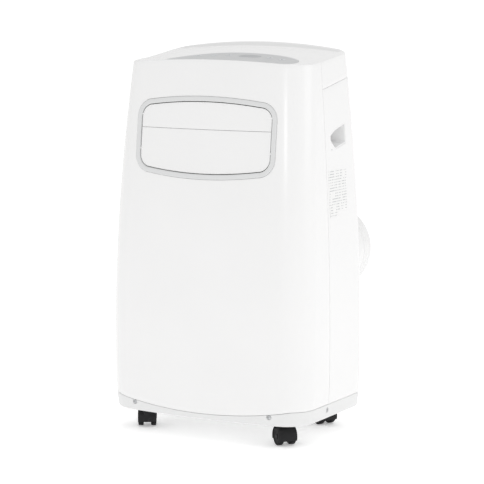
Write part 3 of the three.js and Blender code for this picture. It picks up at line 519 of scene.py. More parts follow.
def finned(name, color, pitch):
    """Thin metal fins standing side by side along X, with painted shade in the dark bands between them."""
    material, nodes, links, shader, place = new_material(name)
    wave = nodes.new("ShaderNodeTexWave")
    wave.bands_direction = "X"
    wave.inputs["Scale"].default_value = 1 / (pitch * 3.14)
    wave.inputs["Distortion"].default_value = 0.15
    links.new(place.outputs["Object"], wave.inputs["Vector"])
    two_tone(nodes, links, shader, wave.outputs["Fac"], tuple(c * 0.25 for c in color), color)
    bumped(nodes, links, shader, wave.outputs["Fac"], 0.7, 1 * MM)
    shader.inputs["Metallic"].default_value = 0.9
    shader.inputs["Roughness"].default_value = 0.38
    return material


def woven(name, color, pitch):
    """Fine filter gauze, with painted shade in the darker openings between its threads."""
    material, nodes, links, shader, place = new_material(name)
    waves = []
    for direction in ("X", "Z"):
        wave = nodes.new("ShaderNodeTexWave")
        wave.bands_direction = direction
        wave.inputs["Scale"].default_value = 1 / (pitch * 3.14)
        links.new(place.outputs["Object"], wave.inputs["Vector"])
        waves.append(wave)
    over = nodes.new("ShaderNodeMath")
    over.operation = "MAXIMUM"
    for wave, socket in zip(waves, over.inputs):
        links.new(wave.outputs["Fac"], socket)
    two_tone(nodes, links, shader, over.outputs[0], tuple(c * 0.3 for c in color), color)
    bumped(nodes, links, shader, over.outputs[0], 0.8, 0.4 * MM)
    shader.inputs["Roughness"].default_value = 0.75
    return material


WHITE = moulded("white_gloss_shell", (0.87, 0.868, 0.866), 0.24, coat=0.25)
WHITE_SKIRT = moulded("white_base_moulding", (0.79, 0.792, 0.79), 0.34)
# Lip inner face: a rougher satin skin, and its darker grey than the shell is painted shade for the band along
# the lip.
LIP_PAINTED_SHADE = moulded("painted_shade_lip_face", (0.74, 0.742, 0.74), 0.5, depth=0.12)
TRIM = moulded("pale_grey_trim", (0.71, 0.715, 0.715), 0.38, depth=0.12)
# Grip cup: a slightly lighter white than the shell, painted light that lifts the shade inside the grip
# recess.
CUP = moulded("grip_cup_plastic", (0.88, 0.88, 0.88), 0.36)
GRILLE = moulded("grille_plastic", (0.82, 0.83, 0.83), 0.4, depth=0.12)
PANEL = moulded("grey_control_plate", (0.53, 0.535, 0.54), 0.36, grain=2200, depth=0.08)
BUTTON = moulded("button_caps", (0.60, 0.615, 0.63), 0.33)
LENS = moulded("display_lens", (0.36, 0.37, 0.38), 0.3, depth=0.02)
MARK = moulded("printed_marks", (0.16, 0.17, 0.18), 0.5)
DARK = moulded("black_moulding", (0.008, 0.008, 0.009), 0.5, grain=900, depth=0.2, shine=0.3)
TREAD = moulded("castor_tread", (0.006, 0.006, 0.007), 0.6, grain=700, depth=0.35, shine=0.25)
FAN = moulded("blower_plastic", (0.12, 0.125, 0.13), 0.5)
VANE = moulded("vane_plastic", (0.66, 0.67, 0.68), 0.4)
BLACK_STEEL = metal("blackened_pin", (0.06, 0.06, 0.062), 0.4)
STEEL = metal("bright_steel", (0.62, 0.63, 0.64), 0.28)
ZINC = metal("galvanised_sheet", (0.5, 0.52, 0.53), 0.45, (1, 1, 1), 0.25)
COPPER = metal("copper_tube", (0.72, 0.36, 0.2), 0.26)
FINS = finned("coil_fins", (0.68, 0.7, 0.72), 1.8 * MM)
GAUZE = woven("filter_gauze", (0.17, 0.175, 0.18), 1.6 * MM)
PAINT = moulded("black_enamel", (0.02, 0.02, 0.022), 0.32, grain=500, depth=0.3)


def label_material():
    """A pale sticker with rows of plain grey bars, and nothing to read."""
    material, nodes, links, shader, place = new_material("rating_sticker")
    split = nodes.new("ShaderNodeSeparateXYZ")
    links.new(place.outputs["Object"], split.inputs["Vector"])
    rows = nodes.new("ShaderNodeMath")
    rows.operation = "PINGPONG"
    rows.inputs[1].default_value = 2.6 * MM
    links.new(split.outputs["Z"], rows.inputs[0])
    line = nodes.new("ShaderNodeMath")
    line.operation = "LESS_THAN"
    line.inputs[1].default_value = 0.8 * MM
    links.new(rows.outputs[0], line.inputs[0])
    stretched = nodes.new("ShaderNodeMapping")
    stretched.inputs["Scale"].default_value = (0, 1, 0.18)
    links.new(place.outputs["Object"], stretched.inputs["Vector"])
    words = nodes.new("ShaderNodeTexNoise")
    words.inputs["Scale"].default_value = 260
    words.inputs["Detail"].default_value = 0
    links.new(stretched.outputs["Vector"], words.inputs["Vector"])
    broken = nodes.new("ShaderNodeMath")
    broken.operation = "GREATER_THAN"
    broken.inputs[1].default_value = 0.47
    links.new(words.outputs["Fac"], broken.inputs[0])
    both = nodes.new("ShaderNodeMath")
    both.operation = "MULTIPLY"
    links.new(line.outputs[0], both.inputs[0])
    links.new(broken.outputs[0], both.inputs[1])
    two_tone(nodes, links, shader, both.outputs[0], (0.86, 0.86, 0.85), (0.52, 0.53, 0.54))
    shader.inputs["Roughness"].default_value = 0.3
    return material


STICKER = label_material()


# ------------------------------------------------------------------ shells
SCREW_X = 147 * MM
SCREW_HEIGHT = 58.5 * MM
SIDE_SCREW_Y = -42 * MM


def screw_places():
    half = plan_at(SCREW_HEIGHT, 0)["half"]
    front = face_y(SCREW_X, SCREW_HEIGHT)
    return [
        ("front_left", Vector((-SCREW_X, front, SCREW_HEIGHT)), "Y", 1),
        ("front_right", Vector((SCREW_X, front, SCREW_HEIGHT)), "Y", 1),
        ("side_left", Vector((-half, SIDE_SCREW_Y, SCREW_HEIGHT)), "X", 1),
        ("side_right", Vector((half, SIDE_SCREW_Y, SCREW_HEIGHT)), "X", -1),
    ]


def base_tray():
    rounding = 5 * MM
    rows = 26

    def place(station, v):
        row = round(v * rows)
        if row <= 9:
            share = row / 9
            x, y = plan_point(station, UNDERSIDE, rounding)
            return Vector((x * share, MIDDLE_Y + (y - MIDDLE_Y) * share, UNDERSIDE))
        if row <= 15:
            angle = math.pi / 2 * (row - 9) / 6
            inset = rounding * (1 - math.sin(angle))
            height = UNDERSIDE + rounding * (1 - math.cos(angle))
            x, y = plan_point(station, height, inset)
            return Vector((x, y, height))
        low = UNDERSIDE + rounding
        x, y = plan_point(station, low, 0)
        height = low + (skirt_line(x) - low) * (row - 15) / (rows - 15)
        return Vector((*plan_point(station, height, 0), height))

    tray = wrap_stations("base_tray_skin", ALL_STATIONS, rows, place)
    thicken(tray, WALL)
    round_edges(tray, 0.5 * MM, 2)
    holes = []
    for name, face, axis, inward in screw_places():
        depth = [(0, -8 * MM), (5.2 * MM, -8 * MM), (5.2 * MM, 0.9 * MM), (4.7 * MM, 1.9 * MM), (0, 1.9 * MM)]
        recess = [(r, inward * d) for r, d in depth]
        holes.append(turned(f"screw_recess_{name}", recess, face, axis, 32, False))
    cut(tray, *holes)
    return finished(tray, WHITE_SKIRT, "cabinet", "white_shell", ["base_tray"])


def front_panel():
    def place(station, v):
        top = rim_point(station, 0)[2]
        foot = skirt_line(plan_point(station, SKIRT_SIDE, 0)[0]) + SEAM
        height = foot + (top - foot) * v
        return Vector((*plan_point(station, height, 0), height))

    panel = wrap_stations("front_panel_skin", FRONT_STATIONS, SKIN_ROWS, place)
    thicken(panel, WALL)
    round_edges(panel, 0.8 * MM, 3)
    cut(panel, prism("vent_opening", vent_outline(-GAP), "Y", FRONT - 20 * MM, 0))
    return finished(panel, WHITE, "cabinet", "white_shell", ["front_panel"])


def vent_edge(x, inset, side):
    """Height of the outlet outline's upper (side 1) or lower (side -1) edge at x."""
    half, radius = VENT_HALF - inset, max(VENT_RADIUS - inset, 3 * MM)
    level = VENT_TOP - inset if side > 0 else VENT_BOTTOM + inset
    flat = half - radius
    if abs(x) <= flat:
        return level - side * VENT_BOW * (x / flat) ** 2
    drop = radius - math.sqrt(max(0.0, radius**2 - (abs(x) - flat) ** 2))
    return level - side * (VENT_BOW + drop)


def vent_outline(inset):
    """(x, z) round the outlet outline, anticlockwise from the lower left."""
    half, radius = VENT_HALF - inset, max(VENT_RADIUS - inset, 3 * MM)
    flat = half - radius
    low = VENT_BOTTOM + inset + VENT_BOW + radius
    high = VENT_TOP - inset - VENT_BOW - radius

    def arc(cx, cz, start):
        angles = [math.radians(start + 90 * s) for s in spread(10)]
        return [(cx + radius * math.cos(a), cz + radius * math.sin(a)) for a in angles]

    bottom = [(flat * (2 * s - 1), vent_edge(flat * (2 * s - 1), inset, -1)) for s in spread(30)[1:-1]]
    top = [(flat * (1 - 2 * s), vent_edge(flat * (1 - 2 * s), inset, 1)) for s in spread(30)[1:-1]]
    right = [(half, low + (high - low) * s) for s in spread(8)[1:-1]]
    left = [(-half, high + (low - high) * s) for s in spread(8)[1:-1]]
    return (bottom + arc(flat, low, -90) + right + arc(flat, high, 0)
            + top + arc(-flat, high, 90) + left + arc(-flat, low, 180))


def vent_frame():
    outline_depths = [
        (0.1, 13), (0.1, 4), (0.1, 0.4), (0.25, -0.5), (0.8, -1.0), (1.6, -1.2), (4, -1.2), (7.5, -1.2),
        (8.1, -1.2), (8.9, -0.9), (9.4, -0.3), (9.58, 0.6), (9.6, 3), (9.6, 15.5), (5, 15.5),
    ]
    profile = [(inset * MM, depth * MM) for inset, depth in outline_depths]
    profile.append(profile[0])
    rings = [vent_outline(inset) for inset, _ in profile]
    count = len(rings[0])
    last = len(profile) - 1

    def place(u, v):
        ring = round(v * last)
        x, z = rings[ring][round(u * count) % count]
        return Vector((x, face_y(x, z) + profile[ring][1], z))

    ring = face_out(wrap("vent_frame_ring", count, last, place))
    return finished(ring, TRIM, "cabinet", "light_trim", ["vent_frame"])


def flap(name):
    inset = VENT_BAND + FLAP_GAP
    half = VENT_HALF - inset
    recess, thickness = 1.0 * MM, 3.0 * MM

    def place(u, v):
        x = half * math.sin(math.pi / 2 * (2 * u - 1))
        bottom = FLAP_PARTING + GAP if name == "upper" else vent_edge(x, inset, -1)
        top = vent_edge(x, inset, 1) if name == "upper" else FLAP_PARTING - GAP
        z = bottom + (top - bottom) * v
        return Vector((x, face_y(x, z) + recess, z))

    plate = wrap(f"flap_{name}_plate", 96, 26, place)
    thicken(plate, thickness)
    round_edges(plate, 0.7 * MM, 3)
    joint = next(j for j in frame["joints"] if j["name"] == f"flap_{name}_tilt")
    pivot = Vector(joint["pos_m"])
    pins = []
    for side in (-1, 1):
        start = Vector((side * (half - 8 * MM), pivot.y, pivot.z))
        reach = [(0, 0), (2 * MM, 0), (2 * MM, 12 * MM), (1.5 * MM, 12.8 * MM), (0, 12.8 * MM)]
        pins.append(turned(f"flap_pin_{side}", [(r, side * d) for r, d in reach], start, "X", 24, False))
    plate = join(f"flap_{name}_plate", [plate, *pins])
    return finished(plate, WHITE, f"flap_{name}", "white_shell", [f"flap_{name}"])


def intake_outline(low, high, margin):
    radius = 10 * MM + margin
    left, right = low.x - margin, high.x + margin
    bottom, top = low.z - margin, high.z + margin
    corners = [(right - radius, bottom + radius, -90), (right - radius, top - radius, 0),
               (left + radius, top - radius, 90), (left + radius, bottom + radius, 180)]
    turns = [(cx, cz, math.radians(start + 90 * s)) for cx, cz, start in corners for s in spread(8)]
    return [(cx + radius * math.cos(a), cz + radius * math.sin(a)) for cx, cz, a in turns]


def back_y(height, inset=0.0):
    return plan_at(height, inset)["back"]


def grip_outline(margin):
    """(y, z) of the grip's opening, which narrows towards the front."""
    front, back, level, tall = -18 * MM, 42 * MM, 572 * MM, 34 * MM
    low, high, drop = level - tall / 2, level + tall / 2, 34 * MM * 0.18
    return [
        (front - margin, level - 4 * MM - margin), (front + 18 * MM, low - drop * 0.4 - margin),
        (back + margin, low + drop - margin), (back + margin, high + drop + margin),
        (front + 20 * MM, high - drop * 0.5 + margin), (front - margin, level + 4 * MM + margin),
    ]


def rear_cover():
    def place(station, v):
        top = parting_line(plan_point(station, PARTING_HEIGHT, 0)[1]) - SEAM / 2
        foot = skirt_line(plan_point(station, SKIRT_SIDE, 0)[0]) + SEAM
        height = foot + (top - foot) * v
        return Vector((*plan_point(station, height, 0), height))

    cover = wrap_stations("rear_cover_skin", BACK_STATIONS, SKIN_ROWS, place)
    thicken(cover, WALL)
    round_edges(cover, 0.5 * MM, 2)
    cutters = []
    for node in ("intake_upper", "intake_lower"):
        low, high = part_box(node)
        cutters.append(prism(f"{node}_opening", intake_outline(low, high, GAP), "Y", 0.02, BACK + 0.05))
    collar_middle = (collar_low + collar_high) / 2
    openings = [(collar_middle, 70.3)]
    for node in ("drain_cap_upper", "drain_cap_lower", "cord_gland"):
        low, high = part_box(node)
        openings.append(((low + high) / 2, 8.3))
    for middle, radius in openings:
        start = Vector((middle.x, BACK - 0.05, middle.z))
        bar = [(0, 0), (radius * MM, 0), (radius * MM, 0.1), (0, 0.1)]
        cutters.append(turned("back_opening", bar, start, "Y", 64, False))
    for side in (-1, 1):
        ends = sorted((side * (HALF_WIDTH - 0.03), side * (HALF_WIDTH + 0.02)))
        cutters.append(prism("grip_opening", grip_outline(2.3 * MM), "X", *ends))
    cut(cover, *cutters)
    return finished(cover, WHITE, "cabinet", "white_shell", ["rear_cover"])


def top_cover():
    """A closed shell: under the dish, down inside the walls, up outside and over the lip."""
    under_rows, wall_rows, round_rows, lip_rows, dish_rows = 22, 8, 6, 14, 20
    ends = [under_rows, under_rows + wall_rows, under_rows + 2 * wall_rows]
    ends += [ends[-1] + 1 + round_rows, ends[-1] + 1 + round_rows + lip_rows]
    rows = ends[-1] + dish_rows

    def inward(station, draw, shrink, drop):
        x, y, _ = rim_point(station, draw)
        x, y = x * (1 - shrink), y + (TOP_MIDDLE - y) * shrink
        return Vector((x, y, top_height(x, y, draw) - drop))

    def place(station, v):
        row = round(v * rows)
        hidden = WALL + GAP if station in FRONT_SET else 0.0
        radius = 0.8 * MM if station in FRONT_SET else LIP_ROUND
        inner = hidden + SHELL + 0.6 * MM
        _, seam_y = plan_point(station, PARTING_HEIGHT, hidden)
        foot = parting_line(seam_y) + SEAM / 2
        if row <= under_rows:
            reach = row / under_rows
            if reach < 0.6:
                return inward(station, LIP_WIDTH, 1 - reach / 0.6, SHELL)
            share = (reach - 0.6) / 0.4
            return inward(station, LIP_WIDTH + (inner + 1.5 * MM - LIP_WIDTH) * share, 0, SHELL)
        if row <= ends[1]:
            ceiling = rim_point(station, inner)[2] - SHELL - 1.5 * MM
            height = ceiling + (foot - ceiling) * (row - under_rows - 1) / (wall_rows - 1)
            return Vector((*plan_point(station, height, inner), height))
        rim = rim_point(station, hidden)[2]
        if row <= ends[2] + 1:
            height = foot + (rim - radius - foot) * (row - ends[1] - 1) / wall_rows
            return Vector((*plan_point(station, height, hidden), height))
        if row <= ends[3]:
            angle = math.pi / 2 * (row - ends[2] - 1) / round_rows
            height = rim - radius + radius * math.sin(angle)
            return Vector((*plan_point(station, height, hidden + radius * (1 - math.cos(angle))), height))
        start = hidden + radius
        if row <= ends[4]:
            return inward(station, start + (LIP_WIDTH - start) * (row - ends[3]) / lip_rows, 0, 0)
        return inward(station, LIP_WIDTH, (row - ends[4]) / dish_rows, 0)

    cover = face_out(wrap_stations("top_cover_shell", ALL_STATIONS, rows, place))
    return round_edges(cover, 0.3 * MM, 2, 60)


def panel_outline(margin):
    """(x, y) round the control plate: straight along the front edge, a long arch behind."""
    middle, half, depth = 32 * MM, 132 * MM, 98 * MM
    left, right = middle - half - margin, middle + half + margin

    def front_at(x):
        return face_y(x, FRONT_EDGE + CROWN, 4 * MM) - margin

    back = face_y(0, FRONT_EDGE + CROWN, 4 * MM) + depth + margin

    def curve(points, count):
        result = []
        for share in spread(count, False):
            level = [Vector(p) for p in points]
            while len(level) > 1:
                level = [a.lerp(b, share) for a, b in zip(level, level[1:])]
            result.append(tuple(level[0]))
        return result

    start = (left + 6 * MM, front_at(left + 6 * MM))
    width = right - 22 * MM - left
    front = [(left + 6 * MM + width * s, front_at(left + 6 * MM + width * s)) for s in spread(28)]
    right_front = front_at(right)
    turn = curve([front[-1], (right, right_front + 8 * MM), (right, right_front + 30 * MM)], 14)
    rear = curve([turn[-1], (right - 4 * MM, back - 12 * MM), (right - 60 * MM, back), (middle, back)], 24)
    left_front = front_at(left) + 12 * MM
    rest = curve([rear[-1], (left + 70 * MM, back), (left + 8 * MM, back - 22 * MM), (left, left_front)], 24)
    close = curve([rest[-1], (left, start[1]), start], 8)
    return front + turn + rear + rest + close[:-1]


def laid_plate(name, outline, middle, rows, thickness, proud, edge):
    """A plate that follows the dish, with a rounded rim of size edge."""
    count = len(outline)
    middle = Vector((*middle, 0))

    def place(u, v):
        x, y = outline[round(u * count) % count]
        row = round(v * (rows + 5))
        if row <= 5:
            angle = math.pi / 2 * row / 5
            inward = (middle - Vector((x, y, 0))).normalized() * edge * (1 - math.cos(angle))
            point = Vector((x, y, 0)) + inward
            lift = proud - edge * (1 - math.sin(angle))
        else:
            share = (row - 5) / rows
            rim = Vector((x, y, 0)) + (middle - Vector((x, y, 0))).normalized() * edge
            point = rim.lerp(middle, share)
            lift = proud
        return Vector((point.x, point.y, dish_height(point.x, point.y) + lift))

    plate = face_out(wrap(name, count, rows + 5, place))
    if plate.data.polygons[-1].normal.z < 0:
        edit(plate, lambda: bpy.ops.mesh.flip_normals())
    return thicken(plate, thickness)


def oval(cx, cy, half_x, half_y, power=2.6, count=72):
    points = []
    for i in range(count):
        angle = 2 * math.pi * i / count
        c, s = math.cos(angle), math.sin(angle)
        points.append((cx + half_x * math.copysign(abs(c) ** (2 / power), c),
                       cy + half_y * math.copysign(abs(s) ** (2 / power), s)))
    return points


def node_middle(node):
    low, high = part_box(node)
    return (low + high) / 2


BUTTONS = ("power", "mode", "fan", "up", "down")


def bar_cutter(name, x, y, radius):
    return prism(name, oval(x, y, radius, radius, 2, 48), "Z", FRONT_EDGE - 40 * MM, BODY_TOP + 20 * MM)


def lip_inset(x, y, height):
    """How far a point of the top lies inside the cabinet's outline, away from the front."""
    plan = plan_at(height, 0)
    radius = plan["back_radius"]
    beside, behind = abs(x) - plan["half"] + radius, y - plan["back"] + radius
    if beside > 0 and behind > 0:
        return radius - math.hypot(beside, behind)
    return radius - max(beside, behind)


def painted_shade_lip(cover):
    """The inner face of the lip, where it stands above the dish, gets a rougher satin skin whose darker grey
    is painted shade.
    """
    cover.data.materials.append(LIP_PAINTED_SHADE)
    for face in cover.data.polygons:
        x, y, z = face.center
        above = z > top_height(x, y, LIP_WIDTH) - 1.5 * MM
        deep = rim_height(x, y) - dish_height(x, y) > 1.2 * MM
        if above and deep and face.normal.z > 0.2 and 6 * MM < lip_inset(x, y, z) < 21 * MM:
            face.material_index = 1


def control_area():
    cover = top_cover()
    tall = (FRONT_EDGE - 60 * MM, BODY_TOP + 20 * MM)
    middle = (36 * MM, TOP_FRONT + 46 * MM)
    cut(cover, prism("panel_opening", panel_outline(GAP), "Z", *tall))
    for name in BUTTONS:
        spot = node_middle(f"button_{name}")
        cut(cover, bar_cutter("button_bore", spot.x, spot.y, 7.4 * MM))
    finished(cover, WHITE, "cabinet", "white_shell", ["top_cover"])
    painted_shade_lip(cover)

    plate = laid_plate("control_plate", panel_outline(0), middle, 26, 1.6 * MM, 0.3 * MM, 0.5 * MM)
    for name in BUTTONS:
        spot = node_middle(f"button_{name}")
        cut(plate, bar_cutter("button_hole", spot.x, spot.y, 7.35 * MM))
    lens = node_middle("display_window")
    cut(plate, prism("lens_hole", oval(lens.x, lens.y, 22.3 * MM, 13.3 * MM), "Z", *tall))
    finished(plate, PANEL, "cabinet", "grey_panel", ["control_panel"])

    window = laid_plate("display_lens", oval(lens.x, lens.y, 22 * MM, 13 * MM), (lens.x, lens.y),
                        8, 1.2 * MM, 0.35 * MM, 0.5 * MM)
    finished(window, LENS, "cabinet", "display_lens", ["display_window"])

    for name in BUTTONS:
        spot = node_middle(f"button_{name}")
        cap = laid_plate(f"button_{name}_cap", oval(spot.x, spot.y, 7 * MM, 7 * MM, 2, 56),
                         (spot.x, spot.y), 8, 8 * MM, 0.9 * MM, 0.9 * MM)
        finished(cap, BUTTON, f"button_{name}", "light_trim", [f"button_{name}"])
        mark = button_mark(name, spot.x, spot.y)
        finished(mark, MARK, f"button_{name}", "grey_panel")


def button_mark(name, x, y):
    """A small plain sign, a fraction of a millimetre proud of its button."""
    pieces = []

    def dab(outline):
        centre = (sum(p[0] for p in outline) / len(outline), sum(p[1] for p in outline) / len(outline))
        pieces.append(laid_plate("dab", outline, centre, 2, 0.25 * MM, 0.98 * MM, 0.05 * MM))

    if name == "power":
        ring = oval(x, y, 2.8 * MM, 2.8 * MM, 2, 40)
        dab(ring)
        cut(pieces[0], bar_cutter("ring_bore", x, y, 2.2 * MM))
    elif name == "mode":
        for shift in (-2.6, 0, 2.6):
            dab(oval(x + shift * MM, y, 0.8 * MM, 0.8 * MM, 2, 16))
    elif name == "fan":
        for i in range(3):
            angle = math.radians(90 + 120 * i)
            dx, dy = 1.7 * MM * math.cos(angle), 1.7 * MM * math.sin(angle)
            dab(oval(x + dx, y + dy, 1.2 * MM, 1.2 * MM, 2, 20))
    else:
        turn = 90 if name == "up" else -90
        corners = [math.radians(turn + 120 * i) for i in range(3)]
        dab([(x + 2.6 * MM * math.cos(a), y + 2.6 * MM * math.sin(a)) for a in corners])
    return join(f"button_{name}_mark", pieces) if len(pieces) > 1 else pieces[0]


# ------------------------------------------------------------------ back and sides
def intake(name, rows_pitch, ribs):
    node = f"intake_{name}"
    low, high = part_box(node)
    profile = [(0.2, 3.0), (0.2, 0.4), (0.7, -0.1), (1.4, -0.2), (7.2, -0.2), (8.4, 0.1), (9, 0.8),
               (9, 3.2), (4, 3.2)]
    profile = [(inset * MM, depth * MM) for inset, depth in profile]
    profile.append(profile[0])
    rings = [intake_outline(low, high, -inset) for inset, _ in profile]
    count, last = len(rings[0]), len(profile) - 1

    def place(u, v):
        ring = round(v * last)
        x, z = rings[ring][round(u * count) % count]
        return Vector((x, back_y(z) - profile[ring][1], z))

    pieces = [face_out(wrap(f"{node}_rim", count, last, place))]
    left, right = low.x + 8 * MM, high.x - 8 * MM
    bottom, top = low.z + 8 * MM, high.z - 8 * MM
    slats = round((top - bottom) / rows_pitch)
    for i in range(1, slats):
        z = bottom + (top - bottom) * i / slats
        y = back_y(z)
        slat = [(y - 3.0 * MM, z + 1.9 * MM), (y - 2.6 * MM, z + 2.3 * MM), (y - 0.5 * MM, z + 0.9 * MM),
                (y - 0.2 * MM, z + 0.1 * MM), (y - 0.5 * MM, z - 0.6 * MM), (y - 3.0 * MM, z + 0.6 * MM)]
        pieces.append(prism("slat", slat, "X", left, right))
    for i in range(1, ribs):
        x = left + (right - left) * i / ribs

        def rib(u, v, x=x):
            z = bottom + (top - bottom) * v
            side = [(-1.6, 3.2), (-1.6, 0.5), (0, 0.15), (1.6, 0.5), (1.6, 3.2), (-1.6, 3.2)][round(u * 5)]
            return Vector((x + side[0] * MM, back_y(z) - side[1] * MM, z))

        pieces.append(face_out(wrap("rib", 5, 30, rib)))
    grille = join(f"{node}_grille", pieces)
    finished(grille, GRILLE, node, "light_trim", [node])

    def gauze(u, v):
        z = low.z + 4 * MM + (high.z - low.z - 8 * MM) * v
        return Vector((high.x - 4 * MM - (high.x - low.x - 8 * MM) * u, back_y(z) - 4.2 * MM, z))

    sheet = thicken(wrap(f"{node}_filter", 24, 40, gauze), 0.8 * MM)
    finished(sheet, GAUZE, node, "dark_plastic")


def exhaust_collar():
    middle = (collar_low + collar_high) / 2
    end = collar_high.y
    start = Vector((middle.x, 0, middle.z))
    foot = back_y(middle.z) - 12 * MM
    ridges = []
    for i in range(3):
        y = end - (10 + 11 * i) * MM
        ridges = [(80, y - 4 * MM), (78.6, y - 2.6 * MM), (78.6, y + 2.6 * MM), (80, y + 4 * MM)] + ridges
    outer = [(70, foot), (70, foot + 8 * MM), (79.6, foot + 9 * MM), (80, foot + 10 * MM)]
    rim = [(80, end - 1.2 * MM), (79.4, end - 0.3 * MM), (78.6, end), (67.4, end), (66.4, end - 0.4 * MM),
           (66, end - 1.4 * MM), (66, foot)]
    profile = [(radius * MM, y) for radius, y in outer + ridges + rim]
    ring = turned("exhaust_collar_ring", profile, start, "Y", 128)
    for i in range(4):
        angle = math.radians(45 + 90 * i)
        cx, cz = middle.x + 68 * MM * math.cos(angle), middle.z + 68 * MM * math.sin(angle)
        notch = block("notch", (cx - 4 * MM, end - 9 * MM, cz - 4 * MM),
                      (cx + 4 * MM, end + 5 * MM, cz + 4 * MM))
        cut(ring, notch)
    finished(ring, WHITE, "cabinet", "white_shell", ["exhaust_collar"])


def drain_cap(name):
    node = f"drain_cap_{name}"
    low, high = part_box(node)
    middle = (low + high) / 2
    face = back_y(middle.z)
    start = Vector((middle.x, face, middle.z))
    profile = [(0, -8), (7.6, -8), (8, -7), (8, 0.6), (11.4, 0.6), (12, 1.2), (12, 4.6), (11.2, 6.2),
               (9.6, 6.8),
               (3, 6.3), (0, 6.2)]
    cap = turned(f"{node}_plug", [(r * MM, d * MM) for r, d in profile], start, "Y", 64, False)
    for i in range(12):
        angle = 2 * math.pi * i / 12
        spot = start + Vector((math.cos(angle), 0, math.sin(angle))) * 12.6 * MM
        flute = [(0, 1.5 * MM), (1.4 * MM, 1.5 * MM), (1.4 * MM, 9 * MM), (0, 9 * MM)]
        cut(cap, turned("flute", flute, spot, "Y", 12, False))
    finished(cap, PANEL, node, "grey_panel", [node])


def cord_gland():
    low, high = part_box("cord_gland")
    middle = (low + high) / 2
    start = Vector((middle.x, back_y(middle.z), middle.z))
    profile = [(4.2, -9), (8, -9), (8, 0.5), (9.6, 0.5), (10, 1), (10, 3.4), (9.2, 4.4), (7.4, 5.2), (7, 6),
               (6.8, 7.4),
               (6.2, 8), (4.8, 8), (4.2, 7.4)]
    gland = turned("cord_gland_bush", [(r * MM, d * MM) for r, d in profile], start, "Y", 64)
    finished(gland, DARK, "cabinet", "dark_plastic", ["cord_gland"])


def grip(name):
    cup = copy_of(f"grip_{name}", f"grip_{name}_cup")
    round_edges(cup, 1.6 * MM, 4, 35)
    finished(cup, CUP, "cabinet", "white_shell", [f"grip_{name}"])


def side_surface(name, y0, y1, z0, z1, lift, thickness, columns=12, rows=16):
    """A thin plate on the right side of the rear cover."""
    def place(u, v):
        z = z0 + (z1 - z0) * v
        return Vector((plan_at(z, -lift)["half"], y0 + (y1 - y0) * u, z))

    return thicken(wrap(name, columns, rows, place), thickness)


def stickers():
    plate = side_surface("rating_sticker", -33 * MM, 41 * MM, 434 * MM, 512 * MM, 0.15 * MM, 0.12 * MM)
    finished(plate, STICKER, "cabinet", "light_trim")
    small = side_surface("batch_sticker", -31 * MM, 0, 424 * MM, 440 * MM, 0.3 * MM, 0.12 * MM)
    finished(small, STICKER, "cabinet", "light_trim")
    dot_at = Vector((plan_at(550 * MM, 0)["half"], -15 * MM, 550 * MM))
    dot = turned("grip_screw", [(0, -3 * MM), (1.7 * MM, -3 * MM), (1.7 * MM, 0.05 * MM),
                                (1.3 * MM, 0.2 * MM),
                                (0, 0.2 * MM)], dot_at, "X", 24, False)
    finished(dot, STEEL, "cabinet", "steel")


def screws():
    for name, face, axis, inward in screw_places():
        profile = [(0, 9), (1.9, 9), (2, 2.2), (4.1, 2.0), (4.2, 1.5), (3.9, 0.9), (3.0, 0.3), (1.6, 0.02),
                   (0, 0)]
        profile = [(r * MM, inward * d * MM) for r, d in profile]
        head = turned(f"screw_{name}_head", profile, face, axis, 40, False)
        for wide, tall in ((2.6, 0.45), (0.45, 2.6)):
            if axis == "Y":
                reach = Vector((wide * MM, 1.5 * MM, tall * MM))
            else:
                reach = Vector((1.5 * MM, wide * MM, tall * MM))
            cut(head, block("drive_slot", face - reach, face + reach))
        finished(head, STEEL, "cabinet", "steel", [f"screw_{name}"])


# ------------------------------------------------------------------ castors
def scaled_profile(points):
    return [(radius * MM, along * MM) for radius, along in points]


def castor_housing():
    half, web = 17.8 * MM, 7 * MM
    radius = 20.8 * MM
    drum = [(0, -half), (radius, -half), (radius, half), (0, half)]
    hood = turned("hood", drum, CASTOR_AXLE, "X", 96, False)
    round_edges(hood, 2.4 * MM, 5)
    far = 60 * MM
    cut(hood, block("hood_foot", (-far, -far, -far), (far, far, 10 * MM)))
    neck = scaled_profile([(0, 17), (10, 17), (10, 40.0), (9.5, 40.6), (0, 40.6)])
    neck = turned("neck", neck, Vector(), "Z", 48, False)
    stem = scaled_profile([(0, 30), (4, 30), (4, 58), (3.4, 59), (0, 59)])
    stem = turned("stem", stem, Vector(), "Z", 32, False)
    fuse(hood, neck, stem)
    bay = [(0, 0), (18.2 * MM, 0), (18.2 * MM, far), (0, far)]
    for side in (-1, 1):
        start = CASTOR_AXLE + Vector((side * web, 0, 0))
        cut(hood, turned("bay", [(r, side * d) for r, d in bay], start, "X", 96, False))
    bore = [(0, -far), (2.8 * MM, -far), (2.8 * MM, far), (0, far)]
    cut(hood, turned("axle_bore", bore, CASTOR_AXLE, "X", 32, False))
    return hood


def castor_wheel(side):
    near, far = 7.4, 17.4
    profile = [
        (2.9, near), (15.4, near), (16.4, near + 0.4), (17, near + 1.4), (17, far - 1.4), (16.4, far - 0.4),
        (15.6, far),
        (14.6, far), (14.0, far - 0.8), (6.4, far - 1.2), (5.8, far - 0.6), (4.6, far - 0.2),
        (2.9, far - 0.2),
    ]
    return turned("castor_wheel", [(r * MM, side * x * MM) for r, x in profile], CASTOR_AXLE, "X", 72)


def castor_axle():
    profile = scaled_profile([(0, -17.8), (2.1, -17.8), (2.5, -17.3), (2.5, 17.3), (2.1, 17.8), (0, 17.8)])
    return turned("castor_axle", profile, CASTOR_AXLE, "X", 32, False)


def set_down(model, name, stem, angle):
    """A copy of a castor piece, turned about its stem and moved to its place."""
    piece = bpy.data.objects.new(name, model.data.copy())
    bpy.context.scene.collection.objects.link(piece)
    piece.rotation_euler = (0, 0, angle)
    piece.location = (stem.x, stem.y, 0)
    pick(piece)
    bpy.ops.object.transform_apply(location=True, rotation=True, scale=True)
    return piece


